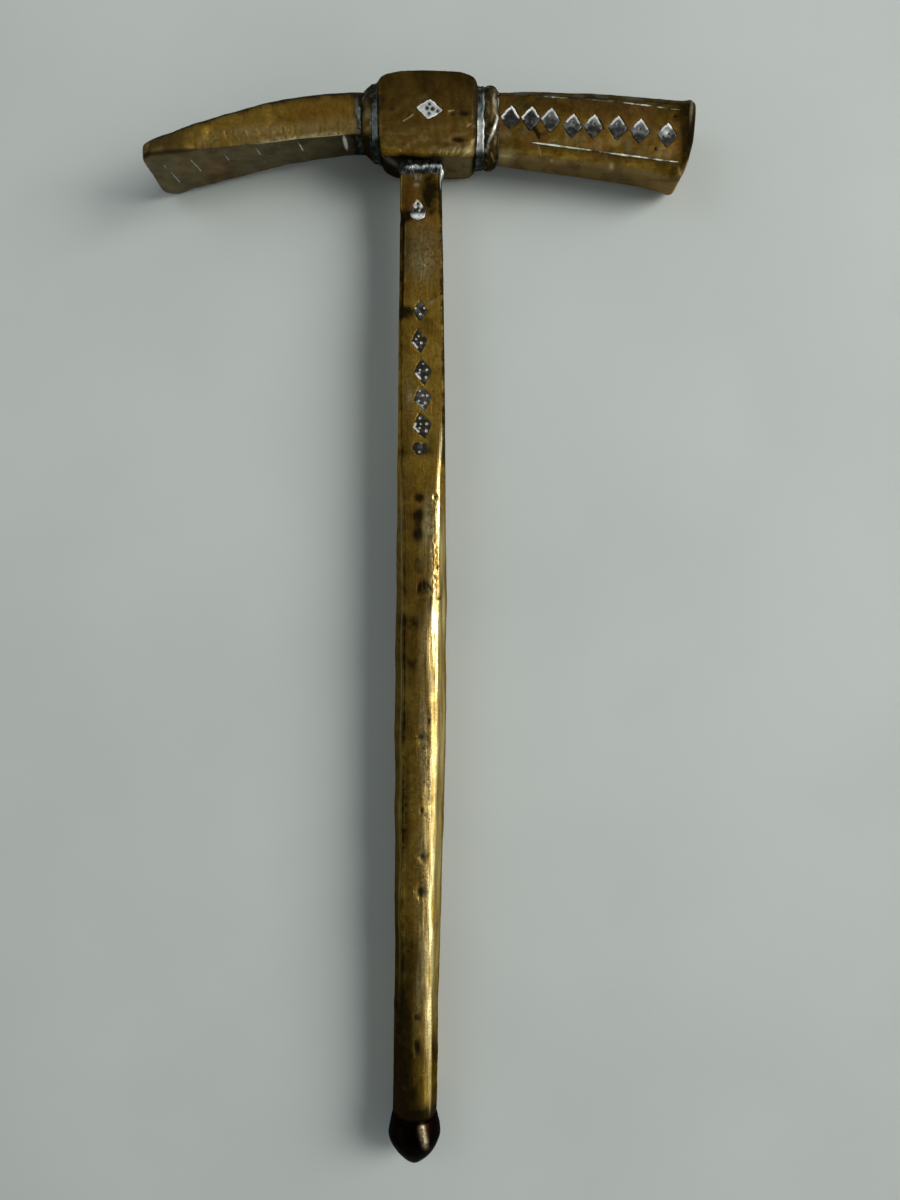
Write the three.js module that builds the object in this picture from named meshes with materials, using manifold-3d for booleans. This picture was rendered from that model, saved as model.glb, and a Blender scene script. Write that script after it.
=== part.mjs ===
// An old brass sugar hammer with silver inlay: an adze blade and an eight-sided poll on a rounded eye
// block, a long bevelled handle and an acorn-shaped pommel. Lengths are in millimetres.
//
// The hammer lies on its side. X runs along the head toward the poll, Y runs up the handle toward the
// head and Z points up from the side that shows the inlay. Pieces are drawn from the point where the
// handle's axis crosses the head's axis, and the whole is moved at the end so that the origin is under
// the middle of its box.

import * as THREE from 'three';
import { mergeVertices } from 'three/addons/utils/BufferGeometryUtils.js';
import Module from 'manifold-3d';

const wasm = await Module();
wasm.setup();

// Eye block
const blockWidth = 21.1;
const blockHeight = 17.7;
const blockDepth = 14.3;
const blockCornerRadius = 4;
const blockEdgeRadius = 2.6;
const blockCrown = 0.3; // how far the block's top bows up
const blockOffset = 1.45; // the block's middle stands this far toward the poll

// Handle
const handleLength = 210.8; // from the block's underside to the seam with the pommel
const handleShoulderGap = 0.3;
const handleBow = 0.7; // hand-forged: its middle stands this far toward the poll
const tangWidth = 7;
const tangDepth = 4;
const tangLength = 11;
const handleSections = [
  { share: 0, width: 9.1, depth: 5.4, bevel: 0.8 },
  { share: 0.14, width: 9.9, depth: 6.2, bevel: 1.0 },
  { share: 0.25, width: 10.4, depth: 7.0, bevel: 1.3 },
  { share: 0.35, width: 10.7, depth: 7.8, bevel: 1.9 },
  { share: 0.46, width: 11.3, depth: 8.8, bevel: 2.9 },
  { share: 0.62, width: 11.3, depth: 9.4, bevel: 3.3 },
  { share: 0.76, width: 10.5, depth: 9.4, bevel: 3.1 },
  { share: 0.88, width: 9.8, depth: 9.2, bevel: 2.9 },
  { share: 1, width: 9.9, depth: 9.4, bevel: 2.9 },
];

// Pommel
const pommelDiameter = 11.9;
const pommelNeckDiameter = 10;
const pommelSkirtHeight = 4.1; // from the seam down to the widest place
const pommelTipLength = 7.3; // from the widest place down to the tip
const pommelTipFlat = 1.6; // half the width of the blunt tip
const pommelTipRound = [2.6, 1.1]; // where the tip's rounding ends: out from the axis, and up from the tip
const pommelBelly = 2.6; // the body's curve leaves the widest place toward this far below it
const pommelSkirtBelly = 1.9; // and toward this far above it
const spigotDiameter = 5;
const spigotLength = 7;

// Adze
const adzeLength = 45.9;
const adzeRootTop = 5.9; // above the head's axis
const adzeRootBottom = -3.9;
const adzeTipDrop = 15.2; // how far the top falls to the cutting edge
const adzeUndersideDrop = 8.4;
const adzeTopBend = 1.9; // powers of the curves along the blade
const adzeUndersideBend = 1.4;
const adzeRootWidth = 9.3;
const adzeEdgeWidth = 20.6;
const adzeEdgeShift = 0.6; // the cutting edge stands this far to the side that shows the inlay
const adzeTopRounding = 2;
const adzeTopRoundingLimit = 0.4; // and at most this share of the blade's thickness
const adzeRidgeRounding = 0.4;
const adzeTipRadius = 3.8;
const adzeStations = 9;

// Poll
const pollLength = 41.9;
const pollRootTop = 6.3;
const pollRootBottom = -7.1;
const pollTopDrop = 2.3;
const pollBottomDrop = 5.1;
const pollTopBend = 2.2;
const pollRootDepth = 9.2;
const pollEndDepth = 11.4;
const pollBevel = 2;
const pollFlare = 0.5; // how far the struck end is spread on each side
const pollFlareLength = 4;
const pollFaceLean = 0.07; // how far the striking face leans, as a slope
const pollFaceBevel = 0.5;

// Collars, and the solder on each side of them
const adzeBlockSolderLength = 1;
const adzeCollarLength = 2.5;
const adzeCollarSolderLength = 0.9;
const adzeCollarSpread = 2.3; // how far the collar's wide end stands above and below the adze's root
const adzeCollarSideSpread = 1.3;
const adzeCollarLowBevel = [1.2, 1.2]; // along the height, and across
const adzeCollarHighBevel = [5, 2.4];
const pollBlockSolderLength = 1;
const pollCollarLength = 3;
const pollCollarSolderLength = 0.7;
const pollCollarSpread = 1.1;
const pollCollarRounding = 0.6; // how much the collar's bevels grow as it spreads
const solderInset = 0.5; // the solder lies this far inside the collar's outline

// Tenons of the two arms
const tenonHeight = 5;
const tenonDepth = 4.4;
const tenonBevel = 0.6;
const tenonReach = 4; // how far each tenon enters the block

// Solder around the handle
const handleSolderHeight = 2;
const handleSolderSpread = 1; // how far it stands proud of the handle, at the block and at its foot
const handleSolderFoot = 0.6;

// Inlay
const inlayDepth = 0.5; // how deep a silver plate lies in its pocket
const inlayProud = 0.12;
const inlayGap = 0.25;
const pollLozengeHeight = 5;
const pollLozengeSpacing = 0.35; // least room between two lozenges
const pollLozengeStart = 2.9; // from the poll's root to the middle of the first lozenge
const pollLozengeEnd = 5; // from the middle of the last lozenge to the poll's end
const pollLozengeSlope = -0.1; // the row runs down toward the poll's end
const pollLozenges = [
  { share: 0, rise: 0.2 },
  { share: 0.131, rise: 0.3 },
  { share: 0.257, rise: 0.25 },
  { share: 0.397, rise: -0.7 },
  { share: 0.531, rise: -0.5 },
  { share: 0.685, rise: -0.3 },
  { share: 0.828, rise: -0.5 },
  { share: 1, rise: -0.75 },
];
const blockLozengeWidth = 5.7;
const blockLozengeHeight = 4.2;
const blockLozengeTurn = -15; // degrees
const blockLozengeAside = 0.5; // from the block's middle, toward the poll
const dropWidth = 3.7;
const dropHeight = 4.6;
const dropPlace = 11.1; // from the block's underside to the middle of its round end
const dropAside = -0.7; // to the side, toward the poll
const handleLozengeStart = 30.8; // from the block's underside to the first lozenge
const handleLozenges = [
  { width: 3.1, height: 4.5, aside: 0.1, turn: -3, gapAfter: 2.1 },
  { width: 3.3, height: 5.2, aside: 0, turn: 9, gapAfter: 1.2 },
  { width: 3.8, height: 5.7, aside: 0.8, turn: 9, gapAfter: 0.4 },
  { width: 3.8, height: 5.4, aside: 0.75, turn: 11, gapAfter: 0.5 },
  { width: 4.1, height: 5.4, aside: 0.4, turn: 17, gapAfter: 0.7 },
];
const fragmentWidth = 2.7;
const fragmentHeight = 2.6;
const wireWidth = 0.55;
const adzeWires = [
  { share: 0.91, from: 0.75, to: -0.55 },
  { share: 0.795, from: 0.6, to: -0.35 },
  { share: 0.655, from: 0.65, to: -0.3 },
  { share: 0.49, from: 0.85, to: -0.35 },
  { share: 0.286, from: 0.8, to: -0.05 },
]; // each runs from one share of the blade's half width to another
const adzeWireSlant = 0.12;
const pollWireInset = 0.55; // from the edge of the poll's side to the wire's middle
const pollTopWire = { from: 0.22, to: 0.93 };
const pollBottomWire = { from: 0.15, to: 0.93 };

// Clearance where one piece sits in another
const jointGap = 0.3;
const overrun = 1; // how far a cutter reaches out past the face that it opens

// Planes along the head that the pieces share
const blockLeft = blockOffset - blockWidth / 2;
const blockRight = blockOffset + blockWidth / 2;
const blockUnderside = -blockHeight / 2;
const adzeCollarRight = blockLeft - adzeBlockSolderLength;
const adzeCollarLeft = adzeCollarRight - adzeCollarLength;
const adzeRoot = adzeCollarLeft - adzeCollarSolderLength;
const pollCollarLeft = blockRight + pollBlockSolderLength;
const pollCollarRight = pollCollarLeft + pollCollarLength;
const pollRoot = pollCollarRight + pollCollarSolderLength;
const handleTop = blockUnderside - handleShoulderGap;
const handleEnd = blockUnderside - handleLength;

const brass = (hue) => new THREE.MeshStandardMaterial({ color: hue, roughness: 0.42, metalness: 1 });
const agedBrass = brass(0x8f6f35);
const darkBrass = brass(0x7a5c2c);
const solderMetal = new THREE.MeshStandardMaterial({ color: 0x9aa3a8, roughness: 0.5, metalness: 1 });
const silver = new THREE.MeshStandardMaterial({ color: 0xb9bcc0, roughness: 0.35, metalness: 1 });

const hammer = new THREE.Group();

function addPiece(name, geometry, material) {
  const piece = new THREE.Mesh(geometry, material);
  piece.name = name;
  hammer.add(piece);
  return piece;
}

// Solids and meshes

function toSolid(geometry) {
  const bare = geometry.clone();
  bare.deleteAttribute('normal');
  bare.deleteAttribute('uv');
  const merged = mergeVertices(bare, 1e-4);
  return new wasm.Manifold(new wasm.Mesh({
    numProp: 3,
    vertProperties: new Float32Array(merged.attributes.position.array),
    triVerts: new Uint32Array(merged.index.array),
  }));
}

function toGeometry(solid) {
  const mesh = solid.getMesh();
  const geometry = new THREE.BufferGeometry();
  geometry.setAttribute('position', new THREE.BufferAttribute(mesh.vertProperties, 3));
  geometry.setIndex(new THREE.BufferAttribute(mesh.triVerts, 1));
  geometry.computeVertexNormals();
  return geometry;
}

function cut(geometry, cutters) {
  return toGeometry(cutters.reduce((rest, cutter) => rest.subtract(toSolid(cutter)), toSolid(geometry)));
}

// A section of the head at one X, or of the handle at one Y: a rectangle from low to high and from
// -half to +half, whose low and high corners are rounded off. A corner is [along the height, along Z].
function section(place, low, high, half, lowCorner, highCorner, steps) {
  const corners = [
    [low + lowCorner[0], half - lowCorner[1], lowCorner, Math.PI / 2],
    [low + lowCorner[0], -half + lowCorner[1], lowCorner, Math.PI],
    [high - highCorner[0], -half + highCorner[1], highCorner, Math.PI * 1.5],
    [high - highCorner[0], half - highCorner[1], highCorner, 0],
  ];
  return corners.flatMap(([a, b, size, start]) => Array.from({ length: steps + 1 }, (_, i) => {
    const angle = start + (i / steps) * (Math.PI / 2);
    return place(a + size[0] * Math.cos(angle), b + size[1] * Math.sin(angle));
  }));
}

const atX = (x, shift = 0) => (a, b) => new THREE.Vector3(x, a, b + shift);
const atLeaningX = (x, slope, middle) => (a, b) => new THREE.Vector3(x + slope * (a - middle), a, b);
const atY = (y, shift = 0) => (a, b) => new THREE.Vector3(a + shift, y, b);

// Joins sections in order into one closed solid with a flat cap on each end.
function loft(sections) {
  const count = sections[0].length;
  const last = (sections.length - 1) * count;
  const index = [];
  for (let row = 0; row < last; row += count) {
    for (let i = 0; i < count; i += 1) {
      const next = (i + 1) % count;
      index.push(row + i, row + next, row + count + i);
      index.push(row + next, row + count + next, row + count + i);
    }
  }
  for (let i = 1; i < count - 1; i += 1) {
    index.push(0, i + 1, i);
    index.push(last, last + i, last + i + 1);
  }
  const geometry = new THREE.BufferGeometry().setFromPoints(sections.flat());
  geometry.setIndex(index);
  geometry.computeVertexNormals();
  return geometry;
}

// Shapes along the head

const mix = (a, b, share) => a + (b - a) * share;
const square = (size) => [size, size];

function adzeSection(share) {
  const top = adzeRootTop - adzeTipDrop * share ** adzeTopBend;
  const bottom = adzeRootBottom - adzeUndersideDrop * share ** adzeUndersideBend;
  const half = mix(adzeRootWidth, adzeEdgeWidth, share ** 2) / 2;
  return { x: adzeRoot - adzeLength * share, top, bottom, half, shift: adzeEdgeShift * share ** 2 };
}

// The blade's outline seen along Y has round corners at the cutting edge.
function adzeHalfAt(share) {
  const { half } = adzeSection(share);
  const fromEdge = adzeLength * (1 - share);
  if (fromEdge >= adzeTipRadius) return half;
  return half - adzeTipRadius + Math.sqrt(adzeTipRadius ** 2 - (adzeTipRadius - fromEdge) ** 2);
}

function adzeRing(share) {
  const { x, top, bottom, shift } = adzeSection(share);
  const rounding = Math.min(adzeTopRounding, (top - bottom) * adzeTopRoundingLimit);
  const ridge = square(adzeRidgeRounding);
  return section(atX(x, shift), bottom, top, adzeHalfAt(share), ridge, square(rounding), 3);
}

function pollSection(share) {
  const fromEnd = pollLength * (1 - share);
  const spread = pollFlare * Math.max(0, 1 - fromEnd / pollFlareLength) ** 2;
  return {
    x: pollRoot + pollLength * share,
    top: pollRootTop - pollTopDrop * share ** pollTopBend + spread,
    bottom: pollRootBottom - pollBottomDrop * share - spread,
    half: mix(pollRootDepth, pollEndDepth, share) / 2 + spread,
  };
}

function pollRing(share, inset = 0) {
  const { x, top, bottom, half } = pollSection(share);
  const place = atLeaningX(x + inset, pollFaceLean * share ** 2, (top + bottom) / 2);
  return section(place, bottom + inset, top - inset, half - inset, square(pollBevel), square(pollBevel), 1);
}

function tenonRing(x, middle, steps, grow = 0) {
  const halfHeight = tenonHeight / 2 + grow;
  const corner = square(tenonBevel);
  const half = tenonDepth / 2 + grow;
  return section(atX(x), middle - halfHeight, middle + halfHeight, half, corner, corner, steps);
}

const adzeTenonMiddle = (adzeRootTop + adzeRootBottom) / 2;
const pollTenonMiddle = (pollRootTop + pollRootBottom) / 2;

function makeAdze() {
  const shares = Array.from({ length: adzeStations }, (_, i) => i / adzeStations);
  const tipShares = [0, 30, 60, 90].map((degrees) => {
    const back = adzeTipRadius * (1 - Math.sin(THREE.MathUtils.degToRad(degrees)));
    return 1 - back / adzeLength;
  });
  const blade = [...shares, ...tipShares].map(adzeRing).reverse();
  const tenon = [adzeRoot, blockLeft + tenonReach].map((x) => tenonRing(x, adzeTenonMiddle, 3));
  return loft([...blade, ...tenon]);
}

function makePoll() {
  const flareShare = 1 - pollFlareLength / pollLength;
  const shares = [0, 0.25, 0.5, 0.75, flareShare, mix(flareShare, 1, 0.5), 1];
  const tenon = [blockRight - tenonReach, pollRoot].map((x) => tenonRing(x, pollTenonMiddle, 1));
  return loft([...tenon, ...shares.map((share) => pollRing(share)), pollRing(1, pollFaceBevel)]);
}

// A plate around a tenon, from one X to another, with the tenon's hole through it.
function ringPlate(from, to, sections, tenonMiddle) {
  const outside = loft(sections);
  const hole = loft([from - overrun, to + overrun].map((x) => tenonRing(x, tenonMiddle, 1, jointGap)));
  return cut(outside, [hole]);
}

function adzeCollarRing(x, spread, inset = 0) {
  const { top, bottom, half } = adzeSection(0);
  const out = adzeCollarSpread * spread - inset;
  const side = adzeCollarSideSpread * spread - inset;
  return section(atX(x), bottom - out, top + out, half + side, adzeCollarLowBevel, adzeCollarHighBevel, 2);
}

function pollCollarRing(x, spread) {
  const { top, bottom, half } = pollSection(0);
  const corner = square(pollBevel + spread * pollCollarRounding);
  return section(atX(x), bottom - spread, top + spread, half + spread, corner, corner, 2);
}

function makeAdzeCollar() {
  const rings = [adzeCollarRing(adzeCollarLeft, 0), adzeCollarRing(adzeCollarRight, 1)];
  return ringPlate(adzeCollarLeft, adzeCollarRight, rings, adzeTenonMiddle);
}

// The bead's profile is half an ellipse between its two flat sides.
function makePollCollar() {
  const beadSteps = 6;
  const rings = Array.from({ length: beadSteps + 1 }, (_, i) => {
    const share = i / beadSteps;
    const spread = pollCollarSpread * Math.sqrt(1 - (2 * share - 1) ** 2);
    return pollCollarRing(mix(pollCollarLeft, pollCollarRight, share), spread);
  });
  return ringPlate(pollCollarLeft, pollCollarRight, rings, pollTenonMiddle);
}

function adzeSolder(from, to, spread) {
  const rings = [from, to].map((x) => adzeCollarRing(x, spread, solderInset));
  return ringPlate(from, to, rings, adzeTenonMiddle);
}

function pollSolder(from, to, spread) {
  const rings = [from, to].map((x) => pollCollarRing(x, spread - solderInset));
  return ringPlate(from, to, rings, pollTenonMiddle);
}

// Handle

// The handle's width, depth and bevel at a share of its length, straight between the given sections.
function handleAt(share) {
  const next = Math.max(1, handleSections.findIndex((row) => row.share >= share));
  const [a, b] = [handleSections[next - 1], handleSections[next]];
  const between = (share - a.share) / (b.share - a.share);
  return {
    width: mix(a.width, b.width, between),
    depth: mix(a.depth, b.depth, between),
    bevel: mix(a.bevel, b.bevel, between),
    slope: (b.depth - a.depth) / 2 / ((b.share - a.share) * handleLength),
  };
}

// How far the bar's middle line has bowed at a share of its length.
const bowAt = (share) => handleBow * Math.sin(Math.PI * share);

function handleRing(y, row, grow = 0, shift = 0) {
  const corner = square(row.bevel);
  const side = row.width / 2 + grow;
  return section(atY(y, shift), -side, side, row.depth / 2 + grow, corner, corner, 2);
}

function makeHandle() {
  const tang = { width: tangWidth, depth: tangDepth, bevel: handleSections[0].bevel };
  const bar = handleSections.map((row) => (
    handleRing(mix(handleTop, handleEnd, row.share), row, 0, bowAt(row.share))
  ));
  const tangTop = blockUnderside + tangLength;
  const socketLength = spigotLength + jointGap;
  const socketRadius = spigotDiameter / 2 + jointGap;
  const socket = new THREE.CylinderGeometry(socketRadius, socketRadius, socketLength + overrun, 20);
  socket.translate(0, handleEnd + (socketLength - overrun) / 2, 0);
  return { bar: loft([handleRing(tangTop, tang), handleRing(handleTop, tang), ...bar]), socket };
}

function makePommel() {
  const radius = pommelDiameter / 2;
  const widest = handleEnd - pommelSkirtHeight;
  const tip = widest - pommelTipLength;
  const profile = new THREE.Path();
  profile.moveTo(0, tip);
  profile.quadraticCurveTo(pommelTipFlat, tip, pommelTipRound[0], tip + pommelTipRound[1]);
  profile.quadraticCurveTo(radius, widest - pommelBelly, radius, widest);
  profile.quadraticCurveTo(radius, widest + pommelSkirtBelly, pommelNeckDiameter / 2, handleEnd);
  profile.lineTo(spigotDiameter / 2, handleEnd);
  profile.lineTo(spigotDiameter / 2, handleEnd + spigotLength);
  profile.lineTo(0, handleEnd + spigotLength);
  return new THREE.LatheGeometry(profile.getPoints(5), 24);
}

// The fillet of solder is a sleeve around the handle that widens toward the block.
function makeHandleSolder() {
  const lower = blockUnderside - handleSolderHeight;
  const row = handleSections[0];
  const outside = loft([
    handleRing(blockUnderside, row, handleSolderSpread),
    handleRing(lower, row, handleSolderFoot),
  ]);
  const hole = loft([blockUnderside + overrun, lower - overrun].map((y) => handleRing(y, row, jointGap)));
  return cut(outside, [hole]);
}

// Block

// How far a round edge of a given radius has drawn in, at a distance from the end of the piece.
function drawnIn(radius, fromEnd) {
  const short = Math.max(0, radius - fromEnd);
  return radius - Math.sqrt(radius ** 2 - short ** 2);
}

function blockRing(fromLeft) {
  const fromEnd = Math.min(fromLeft, blockWidth - fromLeft);
  const side = blockHeight / 2 - drawnIn(blockCornerRadius, fromEnd);
  const half = blockDepth / 2 - drawnIn(blockEdgeRadius, fromEnd);
  const crown = blockCrown * Math.sin((Math.PI * fromLeft) / blockWidth);
  const corner = square(blockEdgeRadius);
  return section(atX(blockLeft + fromLeft), -side, side + crown, half, corner, corner, 4);
}

function makeBlock() {
  const ends = [0, 18, 36, 54, 72, 90].map((degrees) => (
    blockCornerRadius * (1 - Math.cos(THREE.MathUtils.degToRad(degrees)))
  ));
  const middles = [1 / 3, 1 / 2, 2 / 3].map((share) => share * blockWidth);
  const far = ends.map((distance) => blockWidth - distance).reverse();
  return loft([...ends, ...middles, ...far].map(blockRing));
}

function blockCutters() {
  const reach = tenonReach + jointGap;
  const mortiseHeight = tangLength + jointGap;
  return [
    new THREE.BoxGeometry(tangWidth + 2 * jointGap, mortiseHeight + overrun, tangDepth + 2 * jointGap)
      .translate(0, blockUnderside + (mortiseHeight - overrun) / 2, 0),
    loft([blockLeft - overrun, blockLeft + reach].map((x) => tenonRing(x, adzeTenonMiddle, 1, jointGap))),
    loft([blockRight - reach, blockRight + overrun].map((x) => tenonRing(x, pollTenonMiddle, 1, jointGap))),
  ];
}

// Inlay: each plate lies in a pocket of its own outline, a gap larger all round and below.

function lozenge(width, height) {
  return (grow) => {
    const slant = Math.hypot(width, height);
    const x = width / 2 + (grow * slant) / height;
    const y = height / 2 + (grow * slant) / width;
    return new THREE.Shape([[0, -y], [x, 0], [0, y], [-x, 0]].map(([a, b]) => new THREE.Vector2(a, b)));
  };
}

function rectangle(width, height) {
  return (grow) => {
    const [x, y] = [width / 2 + grow, height / 2 + grow];
    return new THREE.Shape([[-x, -y], [x, -y], [x, y], [-x, y]].map(([a, b]) => new THREE.Vector2(a, b)));
  };
}

// A round end at the middle and a point above it, joined by the circle's tangents.
function drop(width, height) {
  return (grow) => {
    const radius = width / 2 + grow;
    const tip = (height - width / 2) * (radius / (width / 2));
    const touch = Math.asin(radius / tip);
    const shape = new THREE.Shape();
    shape.moveTo(0, tip);
    shape.lineTo(-radius * Math.cos(touch), radius * Math.sin(touch));
    shape.absarc(0, 0, radius, Math.PI - touch, touch, false);
    return shape;
  };
}

// A place on a surface: its middle, the direction of the inlay's own X, and the way out of the metal.
function seat(middle, along, outward) {
  const x = along.clone().normalize();
  const z = outward.clone().addScaledVector(x, -outward.dot(x)).normalize();
  const y = new THREE.Vector3().crossVectors(z, x);
  return new THREE.Matrix4().makeBasis(x, y, z).setPosition(middle);
}

// A plate of a given outline, from a depth below the surface to a height above it.
function extrude(shape, below, above) {
  const options = { depth: below + above, bevelEnabled: false, curveSegments: 8 };
  return new THREE.ExtrudeGeometry(shape, options).translate(0, 0, -below);
}

function addInlay(name, outline, matrix) {
  const plate = extrude(outline(0), inlayDepth, inlayProud);
  const piece = addPiece(name, plate, silver);
  matrix.decompose(piece.position, piece.quaternion, piece.scale);
  return extrude(outline(inlayGap), inlayDepth + inlayGap, overrun).applyMatrix4(matrix);
}

// A point on the poll's side that shows the inlay, and the way out of that side.
function pollSide(share, y) {
  const { x, half } = pollSection(share);
  return new THREE.Vector3(x, y, half);
}

const pollSideOutward = new THREE.Vector3(-(pollEndDepth - pollRootDepth) / 2 / pollLength, 0, 1);

function addPollLozenges() {
  const first = pollLozengeStart;
  const span = pollLength - pollLozengeEnd - first;
  const steps = pollLozenges.slice(1).map(({ share }, i) => share - pollLozenges[i].share);
  const outline = lozenge(Math.min(...steps) * span - pollLozengeSpacing, pollLozengeHeight);
  return pollLozenges.map(({ share, rise }, i) => {
    const along = (first + span * share) / pollLength;
    const { top, bottom } = pollSection(along);
    const middle = pollSide(along, (top + bottom) / 2 + rise);
    const matrix = seat(middle, new THREE.Vector3(1, pollLozengeSlope, 0), pollSideOutward);
    return addInlay(`poll_lozenge_${i + 1}`, outline, matrix);
  });
}

function addPollWires() {
  const edges = {
    poll_wire_top: [pollTopWire, ({ top }) => top - pollBevel - pollWireInset],
    poll_wire_bottom: [pollBottomWire, ({ bottom }) => bottom + pollBevel + pollWireInset],
  };
  return Object.entries(edges).map(([name, [wire, height]]) => {
    const [a, b] = [wire.from, wire.to].map((share) => pollSide(share, height(pollSection(share))));
    const along = b.clone().sub(a);
    const middle = a.clone().add(b).multiplyScalar(0.5);
    return addInlay(name, rectangle(along.length(), wireWidth), seat(middle, along, pollSideOutward));
  });
}

function addAdzeWires() {
  const step = 0.02;
  return adzeWires.map(({ share, from, to }, i) => {
    const here = adzeSection(share);
    const ahead = adzeSection(share + step);
    const outward = new THREE.Vector3(here.bottom - ahead.bottom, ahead.x - here.x, 0).normalize();
    const along = new THREE.Vector3(-adzeWireSlant, 0, 1).addScaledVector(outward, adzeWireSlant * outward.x);
    const middle = new THREE.Vector3(here.x, here.bottom, here.shift + ((from + to) / 2) * here.half);
    const outline = rectangle((from - to) * here.half, wireWidth);
    return addInlay(`adze_wire_${i + 1}`, outline, seat(middle, along, outward));
  });
}

// A place on the handle's flat side, at a distance below the block's underside and to the side.
function handleSeat(below, aside = 0, turn = 0) {
  const share = (below - handleShoulderGap) / (handleLength - handleShoulderGap);
  const { depth, slope } = handleAt(share);
  const middle = new THREE.Vector3(bowAt(share) + aside, blockUnderside - below, depth / 2);
  const angle = THREE.MathUtils.degToRad(turn);
  return seat(middle, new THREE.Vector3(Math.cos(angle), Math.sin(angle), 0), new THREE.Vector3(0, slope, 1));
}

function addHandleInlays() {
  const pockets = [addInlay('handle_drop', drop(dropWidth, dropHeight), handleSeat(dropPlace, dropAside))];
  let below = handleLozengeStart;
  handleLozenges.forEach(({ width, height, aside, turn, gapAfter }, i) => {
    const place = handleSeat(below + height / 2, aside, turn);
    pockets.push(addInlay(`handle_lozenge_${i + 1}`, lozenge(width, height), place));
    below += height + gapAfter;
  });
  const fragment = rectangle(fragmentWidth, fragmentHeight);
  const name = `handle_lozenge_${handleLozenges.length + 1}`;
  pockets.push(addInlay(name, fragment, handleSeat(below + fragmentHeight / 2)));
  return pockets;
}

function addBlockLozenge() {
  const middle = new THREE.Vector3(blockOffset + blockLozengeAside, 0, blockDepth / 2);
  const angle = THREE.MathUtils.degToRad(blockLozengeTurn);
  const along = new THREE.Vector3(Math.cos(angle), Math.sin(angle), 0);
  const matrix = seat(middle, along, new THREE.Vector3(0, 0, 1));
  return addInlay('block_lozenge', lozenge(blockLozengeWidth, blockLozengeHeight), matrix);
}

// The hammer

const handle = makeHandle();
addPiece('eye_block', cut(makeBlock(), [...blockCutters(), addBlockLozenge()]), agedBrass);
addPiece('adze_blade', cut(makeAdze(), addAdzeWires()), agedBrass);
addPiece('hammer_poll', cut(makePoll(), [...addPollLozenges(), ...addPollWires()]), agedBrass);
addPiece('handle_bar', cut(handle.bar, [handle.socket, ...addHandleInlays()]), agedBrass);
addPiece('pommel', makePommel(), darkBrass);
addPiece('adze_collar', makeAdzeCollar(), darkBrass);
addPiece('poll_collar', makePollCollar(), darkBrass);
addPiece('adze_block_solder', adzeSolder(adzeCollarRight, blockLeft, 1), solderMetal);
addPiece('adze_collar_solder', adzeSolder(adzeRoot, adzeCollarLeft, 0), solderMetal);
addPiece('poll_block_solder', pollSolder(blockRight, pollCollarLeft, solderInset), solderMetal);
addPiece('poll_collar_solder', pollSolder(pollCollarRight, pollRoot, solderInset), solderMetal);
addPiece('handle_solder', makeHandleSolder(), solderMetal);

const box = new THREE.Box3().setFromObject(hammer, true);
const middle = box.getCenter(new THREE.Vector3());
hammer.position.set(-middle.x, -middle.y, -box.min.z);

export default hammer;
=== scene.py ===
import math

import bpy
import numpy as np
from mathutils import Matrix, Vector


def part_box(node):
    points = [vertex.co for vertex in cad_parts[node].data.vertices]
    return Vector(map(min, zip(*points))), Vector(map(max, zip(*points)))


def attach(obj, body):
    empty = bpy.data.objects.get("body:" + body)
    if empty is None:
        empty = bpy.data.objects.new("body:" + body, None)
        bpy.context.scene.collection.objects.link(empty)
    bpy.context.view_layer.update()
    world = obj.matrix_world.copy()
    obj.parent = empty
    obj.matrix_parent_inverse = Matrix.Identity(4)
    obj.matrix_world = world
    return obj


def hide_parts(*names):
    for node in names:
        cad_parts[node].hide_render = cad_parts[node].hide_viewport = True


# An old brass sugar hammer with silver inlay, lying on its side. Shapes are in millimetres from the place
# where the handle's axis crosses the head's: X runs along the head toward the poll, Y up the handle toward
# the head, and Z up out of the inlaid side.

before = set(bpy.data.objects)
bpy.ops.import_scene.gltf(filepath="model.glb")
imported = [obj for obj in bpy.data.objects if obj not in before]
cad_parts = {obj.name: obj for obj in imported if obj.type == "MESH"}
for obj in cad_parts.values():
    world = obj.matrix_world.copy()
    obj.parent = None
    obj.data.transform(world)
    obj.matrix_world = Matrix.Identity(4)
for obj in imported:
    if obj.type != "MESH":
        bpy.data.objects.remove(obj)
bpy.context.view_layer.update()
blockLow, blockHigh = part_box("eye_block")

millimetre = 0.001
block = {
    "width": 21.1, "height": 17.7, "depth": 14.3, "crown": 0.35, "frontCrown": 0.25,
    "offset": 1.45,  # from the handle's axis to the middle
    "left": 0.35, "right": 0.45,  # growth over the solder
    "rounding": [3.0, 2.8, 2.4, 1.9], "dents": [(0.07, 7.0, 51), (0.025, 2.4, 52)],
    # how far from an end each side begins to draw in, and how far it draws in
    "topLeft": (5.5, 2.2), "topRight": (5.5, 2.3), "lowLeft": (5.5, 3.6), "lowRight": (3.0, 2.8),
    "sides": (1.5, 1.1), "lip": (0.8, 0.25),
}
crossing = np.array([
    blockLow.x + (block["width"] / 2 - block["offset"]) * millimetre,
    blockLow.y + block["height"] / 2 * millimetre,
    (blockLow.z + blockHigh.z) / 2,
])


def toFrame(points):
    return points * millimetre + crossing


# Camera: above the hammer, looking straight down, as in the photograph

lens = {
    "x": 7.12, "y": -105.55, "z": 194.0, "turn": 0.0068, "sensor": 36.0, "near": 0.01, "far": 20,
    "focal": 867, "frameHeight": 1200,  # in pixels of the photograph
}


def makeCamera():
    data = bpy.data.cameras.new("camera")
    data.sensor_width = lens["sensor"]
    data.lens = lens["focal"] / lens["frameHeight"] * lens["sensor"]
    data.clip_start, data.clip_end = lens["near"], lens["far"]
    camera = bpy.data.objects.new("camera", data)
    camera.location = toFrame(np.array([lens["x"], lens["y"], lens["z"]]))
    camera.rotation_euler = (0, 0, lens["turn"])
    bpy.context.scene.collection.objects.link(camera)
    bpy.context.scene.camera = camera


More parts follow.
